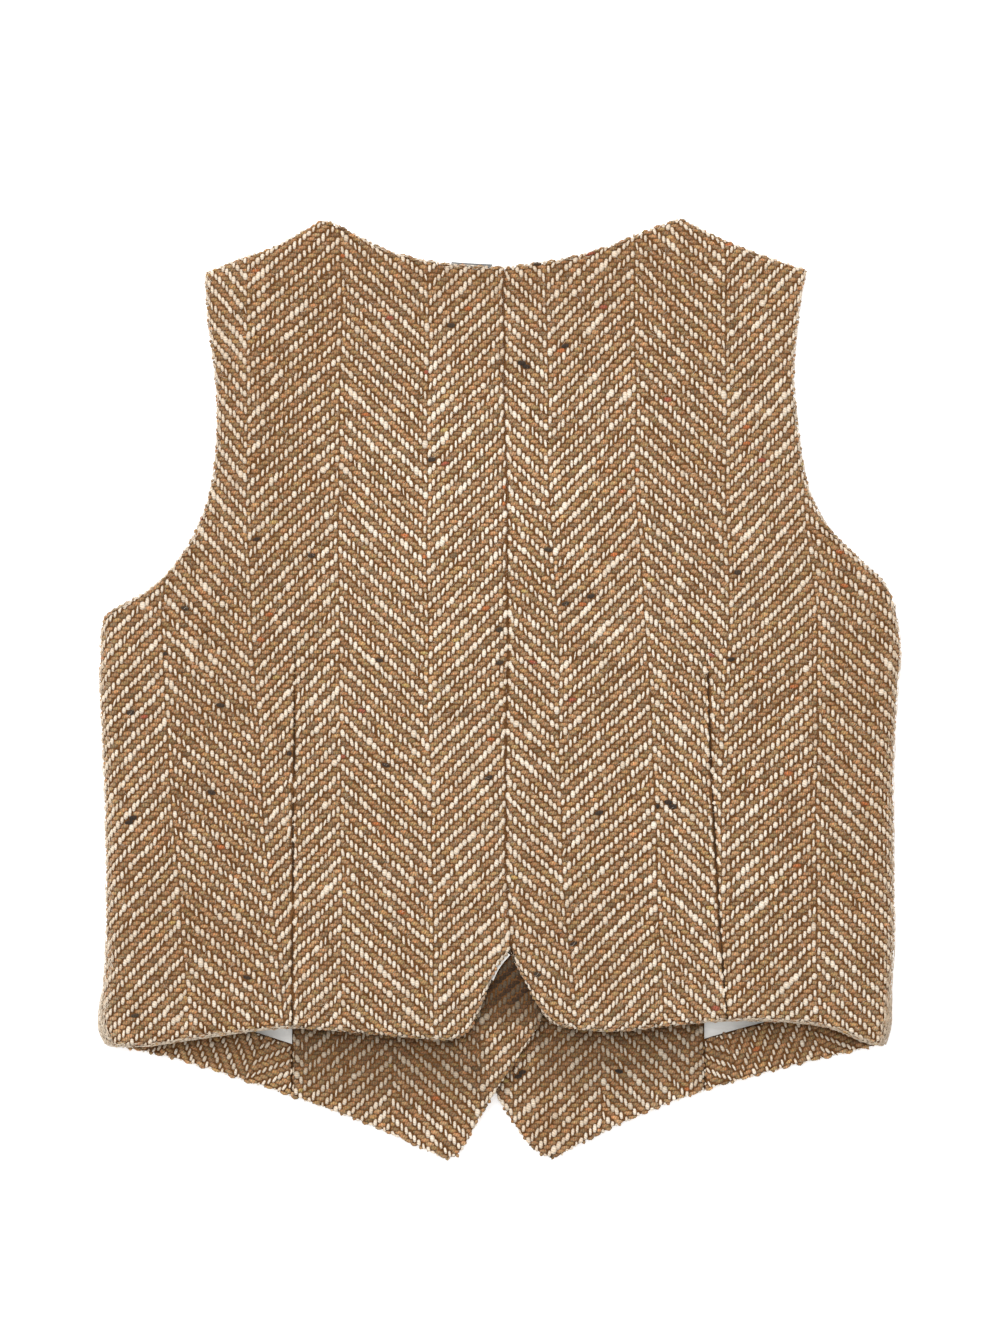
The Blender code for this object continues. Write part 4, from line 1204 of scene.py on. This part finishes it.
def frontPlan(side, across, inside, band, middle, upper):
    # A grid of the whole front, whose lines follow the edges of its facings: patches between the hem,
    # the hem facing's and the facing's upper edges and the shoulder, outside and inside of one column.
    edge = lines[side]
    facingX, facingTop = laps["facingEdge"][side], laps["facingTop"]
    hemSide, hemMiddle = split(edge["frontHem"], 0, facingX)
    bandLine = split(movedIn(edge["frontHem"], side, laps["hemFacing"]), 0, facingX)[0]
    sideUp = edge["side"][::-1]
    sideLow, sideRest = split(sideUp, 1, sideUp[0, 1] + laps["hemFacing"])
    sideMiddle, sideHigh = split(sideRest, 1, facingTop)
    bandLine = np.vstack([sideLow[-1:], bandLine[bandLine[:, 1].argmax() + 1:]])
    edgeLow, edgeHigh = split(edge["frontEdge"], 1, facingTop)
    shoulder = edge["shoulder"][::-1]
    shoulderPoint = sample(shoulder, [0.55])[0]
    shoulderOut, shoulderIn = split(shoulder, 0, shoulderPoint[0])
    corner = np.array([facingX, facingTop])
    facingLow = sample(np.array([hemMiddle[0], bandLine[-1]]), band)
    facingMiddle = sample(np.array([bandLine[-1], corner]), middle)
    facingHigh = sample(np.array([corner, shoulderPoint]), upper)
    levelOut = sample(np.array([sideMiddle[-1], corner]), across)
    levelIn = sample(np.array([corner, edgeLow[-1]]), inside)
    bandPoints = sample(bandLine, across)
    facingSide = np.vstack([facingLow, facingMiddle[1:]])
    low = patch(sample(hemSide, across), bandPoints, sample(sideLow, band), facingLow)
    between = patch(bandPoints, levelOut, sample(sideMiddle, middle), facingMiddle)
    sidePoints = joined(sideHigh, edge["frontArmhole"][::-1], 0.46, upper)
    high = patch(levelOut, sample(shoulderOut, across), sidePoints, facingHigh)
    outerHalf = np.concatenate([low, between[:, 1:], high[:, 1:]], axis=1)
    low = patch(sample(hemMiddle, inside), levelIn, facingSide, sample(edgeLow, shares(facingSide)))
    high = patch(levelIn, sample(shoulderIn, inside), facingHigh, sample(edgeHigh, upper))
    innerHalf = np.concatenate([low, high[:, 1:]], axis=1)
    places = (len(across) - 1, len(band) - 1, len(facingSide) - 1)
    return np.concatenate([outerHalf, innerHalf[1:]], axis=0), places


# x of end 0, and the ends used
frontWeave = {"left": (-38.0, (-80, 30)), "right": (41.0, (-30, 80))}
facingWeave = {"left": (-9.8, (-46, 22)), "right": (8.7, (-18, 48))}
hemWeave = {
    "start": {"left": (-138.0, -210.0), "right": (132.0, -208.0)},    # where end 0 and pick 0 meet
    "turn": 0.42,             # radians, so that the grain follows the hem
    "pitch": 0.95,
    "girth": 0.76,
    "lift": 1.35,             # its painted shade is lighter than the facing's
    "firstColumn": 5,         # of the front's grid
}
plainFloats = {"girth": 1.38, "settle": 0.36}    # stouter, because a diamond shows less of its colour


def makeFront(side):
    panel = frontPanel(side)
    across, inside = spaced(26, 0.05), spaced(34, 0.0, 0.02)
    band, middle, upper = spaced(7, 0.08), spaced(14), spaced(50, 0.0, 0.015)
    plan, (column, bandRow, topRow) = frontPlan(side, across, inside, band, middle, upper)
    outer, inner = -cloth["ground"], -cloth["wall"]
    shell = wallOf("front_cloth_" + side, panel, plan, outer, inner, (ground,))
    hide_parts("front_" + side)
    x0, ends = frontWeave[side]
    floats = weaveFloats(evenPlaces(x0), ends, -268.0, 268.0, panel, 300, girth=plainFloats["girth"])
    warpYarns, weftYarns = layCloth("front", side, panel, floats, 15, lambda colours, floats: colours,
                                    "plain", plainFloats["settle"])

    facing = facingPanel(side)
    inner = inner + cloth["facingThinner"]
    piece = wallOf("facing_cloth_" + side, facing, plan[column:, :topRow + 1], outer, inner, (ground,))
    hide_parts("front_facing_" + side)
    x0, ends = facingWeave[side]
    floats = weaveFloats(evenPlaces(x0), ends, -268.0, -136.0, facing, 400)
    # painted shade under the back's hem and in the vent
    shaded = lambda colours, floats: colours * paintedShadeUnderBack(floats["x"], floats["y"])
    warpYarns, weftYarns = layCloth("facing", side, facing, floats, 25, shaded)

    strip = hemFacingPanel(side)
    start = hemWeave["firstColumn"]
    plan3 = plan[start:column + 1, :bandRow + 1]
    piece = wallOf("hem_facing_cloth_" + side, strip, plan3, outer, inner, (ground,))
    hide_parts("hem_facing_" + side)
    place = lambda end, y: end * weave["endPitch"] * hemWeave["pitch"] + 0.0 * y
    floats = weaveFloats(place, (-60, 60), -60.0, 60.0, strip, 500, -outward[side] * hemWeave["turn"],
                         hemWeave["start"][side], hemWeave["girth"])
    # painted shade under the back's hem, lighter here
    shaded = lambda colours, floats: colours * paintedShadeUnderBack(floats["x"], floats["y"], hemWeave["lift"])
    warpYarns, weftYarns = layCloth("hem_facing", side, strip, floats, 35, shaded)

    height = lambda points: frontUnderside(points, side) + cloth["wall"] + cloth["gap"] + cloth["lining"]
    lining = makePanel(side, 1, height, ())
    plan4 = plan[start + 2:column + 1, bandRow:topRow + 1]
    piece = wallOf("lining_" + side, lining, plan4, 0.0, -cloth["lining"], (satin,))
    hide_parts("front_lining_" + side)
    print("front", side)


for side in ("left", "right"):
    makeFront(side)


# these pieces keep the solids' own shape
finishes = {"back_vent_lining": satin, "back_neck_lining": neckLiningShade}
finishes.update({"button_%d" % number: horn for number in range(1, 5)})
for name, finish in finishes.items():
    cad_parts[name].data.materials.clear()
    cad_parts[name].data.materials.append(finish)
print("linings and buttons finished")


studio = {
    "pixel": 0.56,             # of the garment's width, on a frame 1000 wide and 1334 high
    "middle": (0.3, 12.3),     # what the frame's middle looks at
    "distance": 2600.0,
    "middleHeight": 5.0,
    "sky": 0.79,
    "key": 43.5,
    "keyPlace": (-600.0, 1350.0, 1950.0),
    "keySize": 2.0,
    "tableGlow": 0.45,
    "tableHalf": 6.0,          # metres
    "tableBelow": 0.0002,
    "sensor": 36.0,
}


def makeStudio():
    table = bpy.data.meshes.new("table")
    half = studio["tableHalf"]
    corners = [(-half, -half, 0), (half, -half, 0), (half, half, 0), (-half, half, 0)]
    table.from_pydata(corners, [], [(0, 1, 2, 3)])
    table.materials.append(newMaterial("table white", {
        "Base Color": (0.98, 0.98, 0.98, 1), "Roughness": 1.0, "Specular IOR Level": 0.0,
        "Emission Color": (1, 1, 1, 1), "Emission Strength": studio["tableGlow"]})[0])
    floor = placed("table", table)
    floor.location.z = -studio["tableBelow"]

    world = bpy.data.worlds.new("studio")
    world.use_nodes = True
    setInputs(world.node_tree.nodes["Background"], {"Color": (1, 1, 1, 1), "Strength": studio["sky"]})
    bpy.context.scene.world = world

    # the lamp looks at the origin: tilted by the angle from the vertical, and turned to face it
    lamp = bpy.data.lights.new("key", "AREA")
    lamp.size = studio["keySize"]
    lamp.energy = studio["key"]
    key = placed("key", lamp)
    place = np.array(studio["keyPlace"]) * metre
    key.location = place
    direction = -place / np.linalg.norm(place)
    key.rotation_euler = (np.arccos(-direction[2]), 0.0, np.arctan2(direction[0], -direction[1]) + np.pi)

    # the lens shows the frame's width at the garment's height: sensor times distance over width
    camera = bpy.data.cameras.new("camera")
    camera.sensor_fit = "HORIZONTAL"
    camera.sensor_width = studio["sensor"]
    away = studio["distance"] - studio["middleHeight"]
    camera.lens = studio["sensor"] * away / (1000 * studio["pixel"])
    camera.clip_end = 20.0
    seen = placed("camera", camera)
    seen.location = (studio["middle"][0] * metre, studio["middle"][1] * metre, studio["distance"] * metre)
    bpy.context.scene.camera = seen
    bpy.context.scene.view_settings.view_transform = "Standard"


makeStudio()
print("studio ready")
